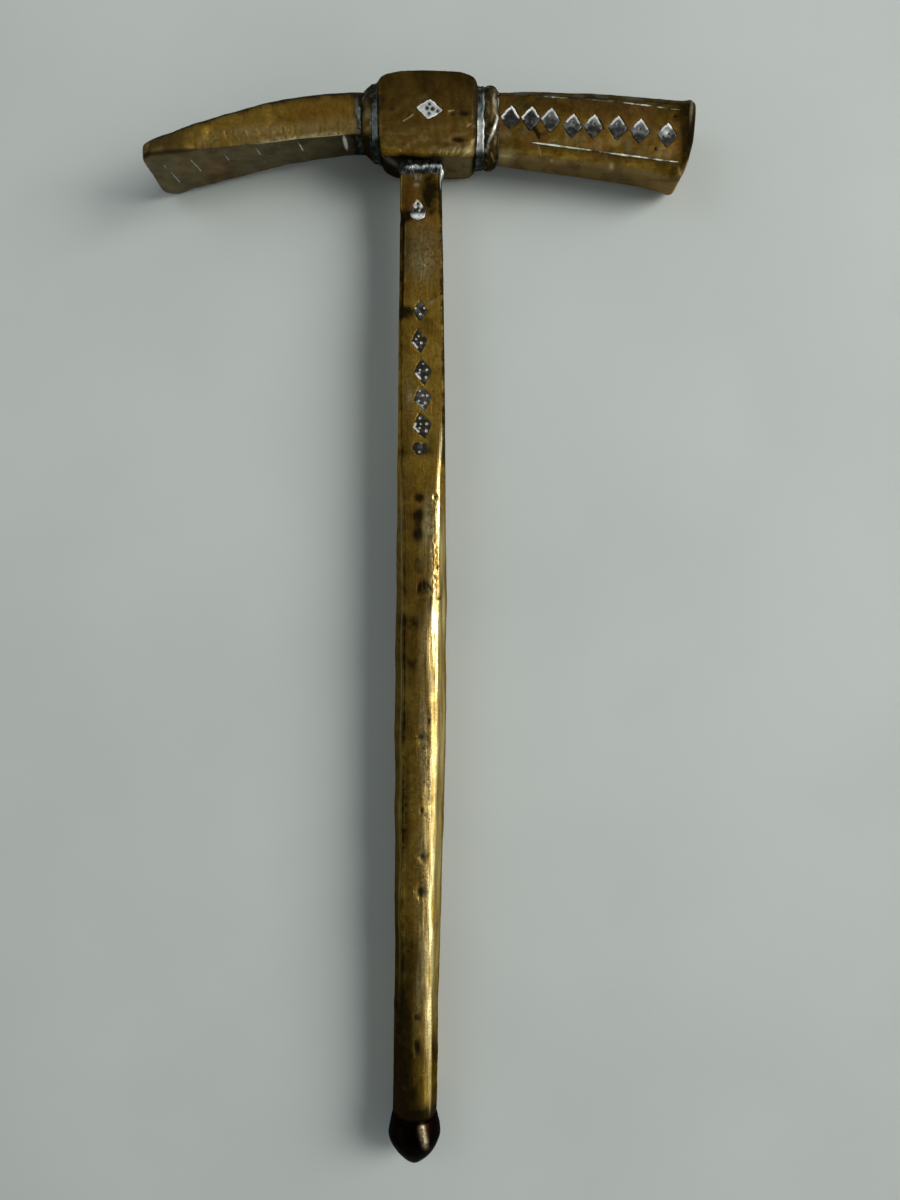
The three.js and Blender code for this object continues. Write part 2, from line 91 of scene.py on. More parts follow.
makeCamera()
print("camera done")


# Shader maths. A Wire is an output of one of a finish's nodes, and Python's operators on it add Math nodes.

class Wire:
    def __init__(self, finish, socket):
        self.finish, self.socket = finish, socket

    def math(self, operation, a, b):
        return self.finish.node("ShaderNodeMath", {"operation": operation}, {0: a, 1: b})

    def __add__(self, other):
        return self.math("ADD", self, other)

    def __sub__(self, other):
        return self.math("SUBTRACT", self, other)

    def __rsub__(self, other):
        return self.math("SUBTRACT", other, self)

    def __mul__(self, other):
        return self.math("MULTIPLY", self, other)

    __radd__ = __add__
    __rmul__ = __mul__

    # 0 below low, 1 above high and a smooth step between
    def step(self, low, high):
        inputs = {0: self, 1: low, 2: high}
        return self.finish.node("ShaderNodeMapRange", {"interpolation_type": "SMOOTHSTEP"}, inputs)

    def clamp(self, low=0.0, high=1.0):
        return self.finish.node("ShaderNodeClamp", {}, {0: self, 1: low, 2: high})


class Finish:
    def __init__(self, name):
        self.material = bpy.data.materials.new(name)
        self.material.use_nodes = True
        self.tree = self.material.node_tree
        self.tree.nodes.clear()

    # Adds a node: its settings are set first, then the values or links of its sockets.
    def node(self, kind, settings=None, inputs=None, output=0):
        made = self.tree.nodes.new(kind)
        for key, value in (settings or {}).items():
            setattr(made, key, value)
        for key, value in (inputs or {}).items():
            if isinstance(value, Wire):
                self.tree.links.new(value.socket, made.inputs[key])
            else:
                made.inputs[key].default_value = value
        return Wire(self, made.outputs[output]) if made.outputs else None

    # The place on the surface, in millimetres, drawn out along each axis
    def place(self, stretch=(1, 1, 1)):
        spot = self.node("ShaderNodeTexCoord", output="Object")
        inputs = {"Vector": spot, "Scale": [millimetre * s for s in stretch]}
        return self.node("ShaderNodeMapping", {"vector_type": "TEXTURE"}, inputs)

    # Soft noise whose lumps are about size millimetres, from 0 to 1
    def noise(self, size, detail=3.0, stretch=(1, 1, 1), twist=0.0):
        inputs = {"Vector": self.place(stretch), "Scale": 1 / size, "Detail": detail, "Distortion": twist}
        return self.node("ShaderNodeTexNoise", {}, inputs)

    # Round cells about size millimetres apart: the distance to the nearest one's middle, in cell sizes
    def cells(self, size):
        return self.node("ShaderNodeTexVoronoi", {}, {"Vector": self.place(), "Scale": 1 / size})

    def paint(self, name):
        return self.node("ShaderNodeAttribute", {"attribute_name": name}, output="Fac")

    def mix(self, share, a, b):
        return self.node("ShaderNodeMix", {"data_type": "RGBA"}, {0: share, 6: a, 7: b}, 2)

    def bump(self, height, depth, under=None):
        inputs = {"Height": height, "Distance": depth * millimetre, "Strength": 1.0}
        if under:
            inputs["Normal"] = under
        return self.node("ShaderNodeBump", {}, inputs)

    def shade(self, inputs):
        shader = self.node("ShaderNodeBsdfPrincipled", {}, inputs)
        self.node("ShaderNodeOutputMaterial", {}, {"Surface": shader})
        return self.material


def rgb(red, green, blue):
    return (red, green, blue, 1.0)


# Brass: gold where it is rubbed and where a highlight is painted, brown where it has aged and nearly black in
# its hollows. The meshes carry the paint: dark for stains, hollows and painted shade, dim for an even
# darkening that is mostly painted shade, bright for rubbed places and painted highlights and glints, warm for
# heat stains and a painted warm reflection, grey for dulled sides and a painted reflection of the floor on
# undersides, and silver for smears of solder.

brassLook = {
    "gold": rgb(0.50, 0.312, 0.050), "brown": rgb(0.235, 0.130, 0.014), "black": rgb(0.018, 0.011, 0.003),
    "bright": rgb(0.95, 0.80, 0.40), "warm": rgb(0.38, 0.17, 0.028), "grey": rgb(0.20, 0.17, 0.095),
    "silver": rgb(0.68, 0.72, 0.70), "edge": rgb(0.75, 0.66, 0.48), "rough": 0.40, "mottle": 8.0,
    "brownShare": 0.5, "stain": 0.3, "streak": (1, 1, 1), "streakSize": 0.5, "streakDepth": 0.012,
    "grainDepth": 0.012, "pitSize": 1.7, "pitDepth": 0.03,
}


def brass(name, **changes):
    look = {**brassLook, **changes}
    finish = Finish(name)
    mottle = finish.noise(look["mottle"], 4.0, twist=0.8)
    blotch = finish.noise(look["mottle"] * 0.28, 4.0, twist=0.4)
    speckle = finish.noise(0.55)
    streaks = finish.noise(look["streakSize"], 3.0, look["streak"])
    pits = 1 - finish.cells(look["pitSize"]).step(0.05, 0.20)
    pits = pits * finish.noise(3.1, 1.0).step(0.52, 0.62)
    shift = (0.5 - look["brownShare"]) * 0.25
    age = mottle * 0.40 + blotch * 0.30 + speckle * 0.16 + streaks * 0.14
    aged = age.step(0.40 + shift, 0.60 + shift)
    deep = (mottle * 0.5 + blotch * 0.3 + streaks * 0.2).step(0.53, 0.66) * look["stain"]
    ragged = 1.12 + (blotch - 0.5) * 0.8 + (speckle - 0.5) * 0.5
    # the dark paint with noise: stains, hollows and painted shade
    sootAndShade = (finish.paint("dark") * ragged + deep + pits * 0.5).clamp()
    colour = finish.mix(aged, look["gold"], look["brown"])
    for layer, tint, share in (
        ("grey", "grey", 0.7 + speckle * 0.5), ("warm", "warm", 0.4 + blotch * 0.9),
        ("dim", "black", 0.85 + (mottle - 0.5) * 0.6),
    ):
        colour = finish.mix((finish.paint(layer) * share).clamp(), colour, look[tint])
    # the bright paint: rubbed places and painted highlights
    rubAndSheen = (finish.paint("bright") * (0.35 + streaks * 1.3)).clamp()
    solder = (finish.paint("silver") * (0.6 + blotch * 0.9)).clamp()
    for share, tint in ((sootAndShade, "black"), (rubAndSheen, "bright"), (solder, "silver")):
        colour = finish.mix(share, colour, look[tint])
    rough = look["rough"] + aged * 0.08 + sootAndShade * 0.15 - rubAndSheen * 0.14 + (speckle - 0.5) * 0.3
    normal = finish.bump(streaks, look["streakDepth"])
    normal = finish.bump(speckle, look["grainDepth"], normal)
    normal = finish.bump(1 - pits, look["pitDepth"], normal)
    return finish.shade({
        "Base Color": colour, "Roughness": rough.clamp(0.15, 0.8), "Normal": normal,
        "Metallic": 1 - sootAndShade * 0.12 - solder * 0.6, "Specular Tint": look["edge"],
    })


# Silver: white where it is rubbed and where a highlight is painted, grey-blue where it is dull, black where
# it has tarnished and where shade is painted

silverLook = {
    "silver": rgb(0.58, 0.59, 0.56), "white": rgb(0.97, 0.97, 0.94), "black": rgb(0.011, 0.012, 0.009),
    "blue": rgb(0.31, 0.35, 0.33), "gold": rgb(0.75, 0.60, 0.33), "edge": rgb(1, 1, 1),
    "rough": 0.42, "lumps": 0.04, "plain": 0.35,
}


def silver(name, **changes):
    look = {**silverLook, **changes}
    finish = Finish(name)
    mottle = finish.noise(1.3, 4.0)
    grain = finish.noise(0.30)
    tarnish = (finish.paint("dark") * (0.65 + mottle * 0.7)).clamp()
    shine = (finish.paint("bright") * (0.55 + grain * 0.9)).clamp()
    colour = finish.mix(mottle.step(0.38, 0.62), look["silver"], look["blue"])
    for share, tint in ((tarnish, "black"), (finish.paint("gold"), "gold"), (shine, "white")):
        colour = finish.mix(share, colour, look[tint])
    metal = 1 - look["plain"] - tarnish * 0.2 - shine * 0.35
    return finish.shade({
        "Base Color": colour, "Metallic": metal.clamp(), "Specular Tint": look["edge"],
        "Roughness": (look["rough"] + tarnish * 0.15 + (grain - 0.5) * 0.3).clamp(0.15, 0.8),
        "Normal": finish.bump(mottle, look["lumps"], finish.bump(grain, 0.02)),
    })


finishes = {
    "block": brass("brass_block", mottle=6.0, streak=(2, 1, 1), brownShare=0.72, rough=0.42, grainDepth=0.03,
                   pitDepth=0.05),
    "adze": brass("brass_adze", silver=rgb(0.95, 0.98, 0.96), edge=rgb(1.0, 0.98, 0.92), streak=(1, 6, 6),
                  streakSize=0.3, brownShare=0.45),
    "poll": brass("brass_poll", mottle=5.0, streak=(4, 1, 1), brownShare=0.6, warm=rgb(0.40, 0.19, 0.05)),
    "bar": brass("brass_bar", gold=rgb(0.70, 0.45, 0.078), brown=rgb(0.34, 0.195, 0.024), mottle=7.0,
                 grey=rgb(0.24, 0.18, 0.085), bright=rgb(1.0, 0.83, 0.40), edge=rgb(0.55, 0.45, 0.28),
                 streak=(1, 16, 1), streakSize=0.35, streakDepth=0.06, rough=0.34, grainDepth=0.03),
    "collar": brass("brass_collar", mottle=4.0, brownShare=0.8, stain=0.5),
    # the pommel's bright colour is that of its painted highlight
    "pommel": brass("brass_pommel", gold=rgb(0.014, 0.007, 0.002), brown=rgb(0.006, 0.002, 0.001),
                    black=rgb(0.003, 0.001, 0.0005), bright=rgb(0.85, 0.68, 0.42), edge=rgb(0.08, 0.05, 0.03),
                    rough=0.14, stain=0.6),
    "solder": silver("silver_solder", silver=rgb(0.40, 0.47, 0.46), blue=rgb(0.18, 0.24, 0.24), rough=0.45,
                     edge=rgb(0.35, 0.38, 0.38)),
    "inlay": silver("silver_plates"),
    "wire": silver("silver_wire", silver=rgb(0.58, 0.62, 0.50), blue=rgb(0.32, 0.36, 0.28),
                   white=rgb(0.88, 0.96, 0.82)),
}
print("finishes done")


# Shapes

# Soft waves over a set of points: a sum of sines whose directions and phases are drawn from a seed. size is
# the length of a middling wave, and the result stays mostly between -1 and 1.
def waves(points, size, seed, count=20):
    dice = np.random.default_rng(seed)
    direction = dice.normal(size=(count, 3))
    direction /= np.linalg.norm(direction, axis=1, keepdims=True)
    length = size * dice.uniform(0.6, 1.8, (count, 1))
    phase = points @ (direction / length).T * 2 * np.pi + dice.uniform(0, 2 * np.pi, count)
    return np.sin(phase).sum(-1) / math.sqrt(count)


# Beaten dents: waves of a few lengths, in rows of height, length and seed
def dents(points, rows):
    return sum(height * waves(points, size, seed) for height, size, seed in rows)


# 0 at low and before it, 1 at high and past it, and a smooth step between. It falls where low is the larger.
def smooth(low, high, value):
    share = np.clip((value - low) / (high - low), 0, 1)
    return share * share * (3 - 2 * share)


# Rises from a to b and falls from c to d
def band(value, a, b, c, d):
    return smooth(a, b, value) * smooth(d, c, value)


# 1 at no distance, and nearly 0 at twice the width
def bell(away, width):
    return np.exp(-(away / width) ** 2)


# The outline of a polygon with rounded corners. corners is (rows, corners, 2). A corner is a curve between
# the places a radius before and after it that bends toward the corner itself, and each side has its own
# points.
def roundedOutline(corners, radius, sidePoints, cornerPoints=4):
    side = np.roll(corners, -1, 1) - corners
    length = np.linalg.norm(side, axis=-1)
    cut = np.minimum(np.broadcast_to(radius, length.shape), 0.45 * np.minimum(length, np.roll(length, 1, 1)))
    unit = side / np.maximum(length, 1e-9)[..., None]
    before = corners - np.roll(unit, 1, 1) * cut[..., None]
    after = corners + unit * cut[..., None]
    bend = (np.arange(cornerPoints) / cornerPoints)[None, None, :, None]
    curve = before[:, :, None] * (1 - bend) ** 2 + after[:, :, None] * bend ** 2
    curve = curve + corners[:, :, None] * 2 * bend * (1 - bend)
    ahead = np.roll(before, -1, 1)
    parts = []
    for i, count in enumerate(sidePoints):
        share = (np.arange(count) / count)[None, :, None]
        parts += [curve[:, i], after[:, i, None] * (1 - share) + ahead[:, i, None] * share]
    return np.concatenate(parts, 1)


# The corners of a section with its four corners cut: low and high along Y, half to each side along Z
def eightSided(low, high, half, cutLow, cutHigh, cutSide=None):
    cutSide = cutHigh if cutSide is None else cutSide
    return np.stack([
        [low + cutLow, half], [low, half - cutLow], [low, -half + cutLow], [low + cutLow, -half],
        [high - cutHigh, -half], [high, -half + cutSide], [high, half - cutSide], [high - cutHigh, half],
    ]).transpose(2, 0, 1)


# A section of the head: its first number is the height along Y and its second stands along Z.
def headGrid(x, outline):
    x = np.broadcast_to(np.asarray(x, float)[:, None], outline.shape[:2])
    return np.dstack([x, outline[..., 0], outline[..., 1]])


# A section of the handle: its first number stands along X and its second along Z.
def handleGrid(y, outline):
    return headGrid(y, outline)[..., [1, 0, 2]]


# Unit normals of a grid, pointing outward
def outward(points):
    normals = np.cross(np.gradient(points, axis=0), np.roll(points, -1, 1) - np.roll(points, 1, 1))
    normals /= np.maximum(np.linalg.norm(normals, axis=-1, keepdims=True), 1e-9)
    return normals * np.sign((normals * (points - points.mean(1, keepdims=True))).sum())


# Moves a grid's points out along their normals
def lifted(points, normals, height):
    return points + normals * height[..., None]


# Rings that shut an end: copies of the end ring drawn toward its middle
def shut(ring, shares):
    return np.stack([ring * (1 - share) + ring.mean(0) * share for share in shares])


# Values along a line from rows that start with their place, straight between them; column says which value
def along(place, rows, column=1):
    return np.interp(place, [row[0] for row in rows], [row[column] for row in rows])


# Places from start to end whose spacing follows a density
def spread(start, end, count, density):
    fine = np.linspace(start, end, 2000)
    total = np.cumsum(density(fine))
    total = (total - total[0]) / (total[-1] - total[0])
    return np.interp(np.linspace(0, 1, count), total, fine)


# Makes a piece from a grid of points. Rows run along it and each row closes on itself. A ringed grid also
# closes from its last row to its first, and otherwise each end is shut by a fan to its middle. Faces point
# outward where the volume that they enclose is positive. Paint with too few rows repeats its last one.
def gridPiece(node, points, finish, paint, ringed=False):
    rows, columns = points.shape[:2]
    index = np.arange(rows * columns).reshape(rows, columns)
    here, ahead = (index, np.roll(index, -1, 0)) if ringed else (index[:-1], index[1:])
    quads = np.stack([here, np.roll(here, -1, 1), np.roll(ahead, -1, 1), ahead], -1).reshape(-1, 4)
    vertices = points.reshape(-1, 3)
    fans = np.empty((0, 3), int)
    if not ringed:
        vertices = np.vstack([vertices, points[0].mean(0), points[-1].mean(0)])
        first, last = np.full(columns, rows * columns), np.full(columns, rows * columns + 1)
        near = np.stack([np.roll(index[0], -1), index[0], first], -1)
        far = np.stack([index[-1], np.roll(index[-1], -1), last], -1)
        fans = np.vstack([near, far])
    a, b, c = (vertices[np.vstack([quads[:, :3], quads[:, [0, 2, 3]], fans])[:, i]] for i in range(3))
    if (a * np.cross(b, c)).sum() < 0:
        quads, fans = quads[:, ::-1], fans[:, ::-1]
    name = node + "_finished"
    mesh = bpy.data.meshes.new(name)
    mesh.from_pydata(toFrame(vertices).tolist(), [], quads.tolist() + fans.tolist())
    mesh.polygons.foreach_set("use_smooth", np.ones(len(mesh.polygons), bool))
    for key, values in paint.items():
        values = np.clip(np.atleast_2d(values), 0, 1)
        if len(values) > 1:
            values = np.vstack([values, np.tile(values[-1], (rows - len(values), 1))])
        values = np.broadcast_to(values, (rows, columns))
        full = values.ravel() if ringed else np.append(values.ravel(), [values[0].mean(), values[-1].mean()])
        mesh.attributes.new(key, "FLOAT", "POINT").data.foreach_set("value", full.astype(np.float32))
    mesh.materials.append(finishes[finish])
    piece = bpy.data.objects.new(name, mesh)
    bpy.context.scene.collection.objects.link(piece)
    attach(piece, "root")
    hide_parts(node)
    print(name, len(quads) * 2 + len(fans), "triangles")
    return vertices


def brassPaint(dark, dim, bright, warm, grey, silvery):
    return {"dark": dark, "dim": dim, "bright": bright, "warm": warm, "grey": grey, "silver": silvery}


# Marks on the inlaid side. Their places are those seen from the camera's spot on one level of the piece: the
# line of sight through each point is followed to that level. The third number is 1 where the surface faces
# the camera.

def seen(points, normals, level):
    spot = np.array([lens["x"], lens["y"], lens["z"]])
    reach = (lens["z"] - level) / (lens["z"] - points[..., 2:])
    place = spot[:2] + (points[..., :2] - spot[:2]) * reach
    facing = ((spot - points) * normals).sum(-1, keepdims=True) > 0
    return np.concatenate([place, facing], -1)


# A soft oval: 1 in its middle and 0 well outside. turn is in degrees, and a larger power gives a firmer edge.
def oval(points, x, y, halfWidth, halfLength, turn=0.0, power=1.0):
    angle = math.radians(turn)
    dx, dy = points[..., 0] - x, points[..., 1] - y
    across = (dx * math.cos(angle) + dy * math.sin(angle)) / halfWidth
    up = (dy * math.cos(angle) - dx * math.sin(angle)) / halfLength
    return np.exp(-(across ** 2 + up ** 2) ** power) * (points[..., 2] > 0)


# A scratch between two places: 1 on the line and 0 past its width
def scratch(points, x0, y0, x1, y1, width):
    start, line = np.array([x0, y0]), np.array([x1 - x0, y1 - y0])
    share = np.clip((points[..., :2] - start) @ line / (line @ line), 0, 1)
    away = np.linalg.norm(points[..., :2] - start - share[..., None] * line, axis=-1)
    return bell(away, width) * (points[..., 2] > 0)


# Sums of ovals and of scratches, whose rows each begin with a strength
def ovals(points, *rows):
    return sum(strength * oval(points, *row) for strength, *row in rows)


def scratches(points, *rows):
    return sum(strength * scratch(points, *row) for strength, *row in rows)


# Beats a table of marks into a surface. Each row is an oval, then its depth and its stain.
def strike(body, normals, sight, dark, rows, fade=1.0):
    for *place, depth, stain in rows:
        mark = oval(sight, *place)
        body = lifted(body, normals, -depth * mark)
        dark = np.maximum(dark, stain * mark ** fade)
    return body, dark


# Inlay plates. A plate's outline is a kite: its tips stand at width / 2 to each side, up above and down
# below. bulge 1 gives straight sides and more rounds them. Places on it are from its middle: dots are
# punched, stains and glows are soft ovals, rims are bright round a direction, and bites are out of the
# outline round one. The stains hold tarnish and, on the poll's lozenges, painted shade low on the plate; the
# rims are rubbed edges and, on the poll's lozenges, painted highlights.

def kite(**changes):
    plain = dict(bulge=1.08, proud=0.05, dotDepth=0.08, tarnish=0.0, goldDots=0.0)
    return {**plain, **dict.fromkeys(("dots", "stains", "glows", "rims", "bites"), ()), **changes}


def plateRadius(plate, angle):
    high = np.sin(angle) > 0
    height = np.where(high, plate["up"], plate["down"])
    bulge = np.where(high, plate.get("tipBulge", plate["bulge"]), plate["bulge"])
    ends = (np.abs(np.cos(angle)) / (plate["width"] / 2)) ** bulge + (np.abs(np.sin(angle)) / height) ** bulge
    radius = ends ** (-1 / bulge)
    for turn, reach, depth in plate["bites"]:
        radius = radius * (1 - depth * bell(turnedFrom(angle, turn), reach))
    return radius


# Degrees between directions and a turn, from -180 to 180
def turnedFrom(angle, turn):
    return (np.degrees(angle) - turn + 180) % 360 - 180


# Where a plate lies: its middle and its own three axes. turn is in degrees, on a host that slopes as out
# says.
def seat(middle, turn, out):
    angle = math.radians(turn)
    right = np.array([math.cos(angle), math.sin(angle), 0.0])
    out = np.array(out, float) - right * np.dot(out, right)
    out /= np.linalg.norm(out)
    return {"middle": np.array(middle, float), "right": right, "up": np.cross(out, right), "out": out}


# How far points stand outside a plate's outline, and 9 where they are on another side of the host
def awayFrom(plate, points):
    place = plate["seat"]
    offset = points - place["middle"]
    a, b, depth = offset @ place["right"], offset @ place["up"], offset @ place["out"]
    distance = np.hypot(a, b) - plateRadius(plate, np.arctan2(b, a))
    return np.where(depth > -1.5, distance * 0.8, 9.0)


# The host's pocket under each plate, with a fine groove round it, and the dirt in that groove
def pockets(points, normals, plates):
    away = np.min([awayFrom(plate, points) for plate in plates], axis=0)
    sink = 0.32 * smooth(-0.04, -0.16, away) + 0.05 * bell(away, 0.12)
    return lifted(points, normals, -sink), bell(np.maximum(away, 0), 0.13)


def makePlate(node, plate):
    place = plate["seat"]
    rings = np.concatenate([np.linspace(0.03, 0.86, 17), [0.91, 0.95, 0.98, 1.0]])[:, None]
    angle = np.linspace(0, 2 * np.pi, 108, endpoint=False)
    ragged = 1 + 0.02 * np.sin(angle * 7 + plate["up"] * 9) + 0.015 * np.sin(angle * 17)
    radius = plateRadius(plate, angle) * ragged
    a, b = rings * radius * np.cos(angle), rings * radius * np.sin(angle)
    dots, tarnish, shine = 0 * a, 0 * a, 0 * a
    for dotA, dotB, size in plate["dots"]:
        dots = np.maximum(dots, np.exp(-(((a - dotA) ** 2 + (b - dotB) ** 2) / size ** 2) ** 2))

    def patch(middleA, middleB, halfA, halfB, amount):
        return amount * bell(a - middleA, halfA) * bell(b - middleB, halfB)

    # stains: tarnish, and on the poll's lozenges painted shade low on the plate
    for row in plate["stains"]:
        tarnish = np.maximum(tarnish, patch(*row))
    # rims: rubbed edges, and on the poll's lozenges painted highlights on the side toward the light
    for turn, reach, amount in plate["rims"]:
        near = smooth(reach * 1.1, reach * 0.7, np.abs(turnedFrom(angle, turn)))
        shine = np.maximum(shine, amount * band(rings, 0.66, 0.86, 0.985, 1.0) * near)
    for row in plate["glows"]:
        shine = np.maximum(shine, patch(*row))
    flat = np.dstack([a, b, 0 * a]) + place["middle"]
    height = plate["proud"] * (1 - 0.8 * smooth(0.88, 1.0, rings)) + 0.025 * waves(flat, 1.5, 5)
    height = height - plate["dotDepth"] * dots
    top = place["middle"] + a[..., None] * place["right"] + b[..., None] * place["up"]
    top = top + height[..., None] * place["out"]
    skirt = top[-1] - place["out"] * (0.35 + height[-1][:, None])
    shine = np.clip(shine, 0, 1) * (1 - dots)
    dark = np.clip(plate["tarnish"] + tarnish, 0, 1) * (1 - shine)
    dark = dark * (1 - dots) if plate["goldDots"] else np.maximum(dark, dots)
    dark = np.maximum(dark, 0.8 * smooth(0.95, 1.0, rings))
    paint = {"dark": dark, "bright": shine, "gold": dots * plate["goldDots"]}
    gridPiece(node, np.concatenate([top, [skirt], shut(skirt, (0.5, 0.95))]), "inlay", paint)


# A wire hammered into a groove: a flattened half-round strip along a path of points. shine says how bright
# it is at each point, and where it is worn it sinks.
def makeWire(node, path, out, width, proud, seed, shine):
    step = np.gradient(path, axis=0)
    step /= np.linalg.norm(step, axis=1, keepdims=True)
    across = np.cross(out, step)
    share = np.linspace(0, 1, len(path))
    ends = np.sqrt(np.clip(1 - (2 * share - 1) ** 12, 0, 1))
    half = width / 2 * (0.9 + 0.12 * waves(path, 1.6, seed + 1)) * ends * (0.55 + 0.45 * shine)
    height = proud * ends * (1 + 0.25 * waves(path, 0.9, seed + 2)) * (0.15 + 0.85 * shine)
    angle = np.linspace(0, 2 * np.pi, 14, endpoint=False)
    lift, sink = np.maximum(np.sin(angle), 0), np.minimum(np.sin(angle), 0)
    points = path[:, None] + (half[:, None] * np.cos(angle))[..., None] * across[:, None]
    points = points + (lift * height[:, None] + sink * 0.22 * ends[:, None])[..., None] * out
    bright = np.clip((1.25 * shine[:, None] - 0.25) * (0.9 + 0.25 * waves(points, 1.2, seed + 4)), 0, 1)
    dullAndShade = np.clip(0.92 + 0.25 * waves(points, 2.2, seed + 3), 0, 1) * (1 - bright)
    gridPiece(node, points, "wire", {"dark": dullAndShade, "bright": bright})


# Adze blade. Its top and underside fall toward the cutting edge as powers of the share of its length, and its
# width grows with the share's square. The two corners of the cutting edge are rounded by their own radii.

adze = {
    "root": -13.5, "length": 45.9, "rootTop": 5.9, "rootBottom": -3.9, "tipDrop": 15.2, "undersideDrop": 8.4,
    "topBend": 1.9, "undersideBend": 1.4, "rootWidth": 9.3, "edgeWidth": 20.6, "edgeShift": 0.6,
    "topRounding": 2.2, "ridgeRounding": 0.35, "nearTip": 2.6, "farTip": 5.0, "edgeRounding": 0.6,
    "dents": [(0.10, 9.0, 11), (0.03, 2.6, 12)],
    "level": 8.0,  # the height at which its marks were read
}
# Nicks beside the ridge: x, y, half width, half length, turn, depth, stain
adzeNicks = [
    (-41.6, -5.7, 0.3, 0.55, 20, 0.10, 0.7), (-40.1, -5.4, 0.25, 0.5, -10, 0.08, 0.7),
    (-38.6, -5.0, 0.25, 0.5, 30, 0.08, 0.7), (-39.5, -3.9, 0.6, 0.25, 0, 0.06, 0.6),
    (-41.4, -6.4, 0.2, 0.5, 0, 0.08, 0.7), (-36.9, -5.9, 0.2, 0.8, 25, 0.10, 0.6),
    (-34.4, -5.6, 0.2, 0.9, 20, 0.10, 0.6), (-31.8, -3.5, 0.4, 0.2, 30, 0.06, 0.5),
    (-31.2, -5.6, 0.2, 0.6, 10, 0.07, 0.5), (-29.5, -5.4, 0.2, 0.6, 15, 0.06, 0.5),
    (-45.2, -5.6, 0.3, 0.3, 0, 0.06, 0.6), (-43.6, -6.6, 0.2, 0.4, 10, 0.06, 0.6),
    (-18.0, -5.6, 0.18, 0.9, 35, 0.08, 0.4), (-16.6, -6.0, 0.2, 0.8, 25, 0.08, 0.4),
    (-27.0, -4.9, 0.18, 0.7, 12, 0.05, 0.4), (-24.6, -4.7, 0.18, 0.6, 8, 0.05, 0.4),
    (-22.3, -4.5, 0.16, 0.8, 14, 0.05, 0.3), (-20.2, -4.6, 0.16, 0.7, 20, 0.05, 0.3),
]
# Wires across the underside: share of the length, from and to as shares of the half width, and shine
adzeWires = {
    "width": 0.27, "proud": 0.05, "slant": 0.12,
    "rows": [(0.91, 0.52, -0.42, 0.4), (0.785, 0.6, -0.35, 0.5), (0.633, 0.65, -0.3, 0.33),
             (0.482, 0.85, -0.35, 0.25), (0.286, 0.8, -0.05, 0.4)],
}


def adzeAt(share):
    run = np.maximum(share, 0)
    return {
        "x": adze["root"] - adze["length"] * share,
        "top": adze["rootTop"] - adze["tipDrop"] * run ** adze["topBend"],
        "bottom": adze["rootBottom"] - adze["undersideDrop"] * run ** adze["undersideBend"],
        "half": (adze["rootWidth"] + (adze["edgeWidth"] - adze["rootWidth"]) * run ** 2) / 2,
        "shift": adze["edgeShift"] * run ** 2,
    }


# How far a corner of a given radius has drawn in, at a distance from the end
def drawnIn(radius, fromEnd):
    return radius - np.sqrt(np.maximum(radius ** 2 - np.maximum(radius - fromEnd, 0) ** 2, 0))


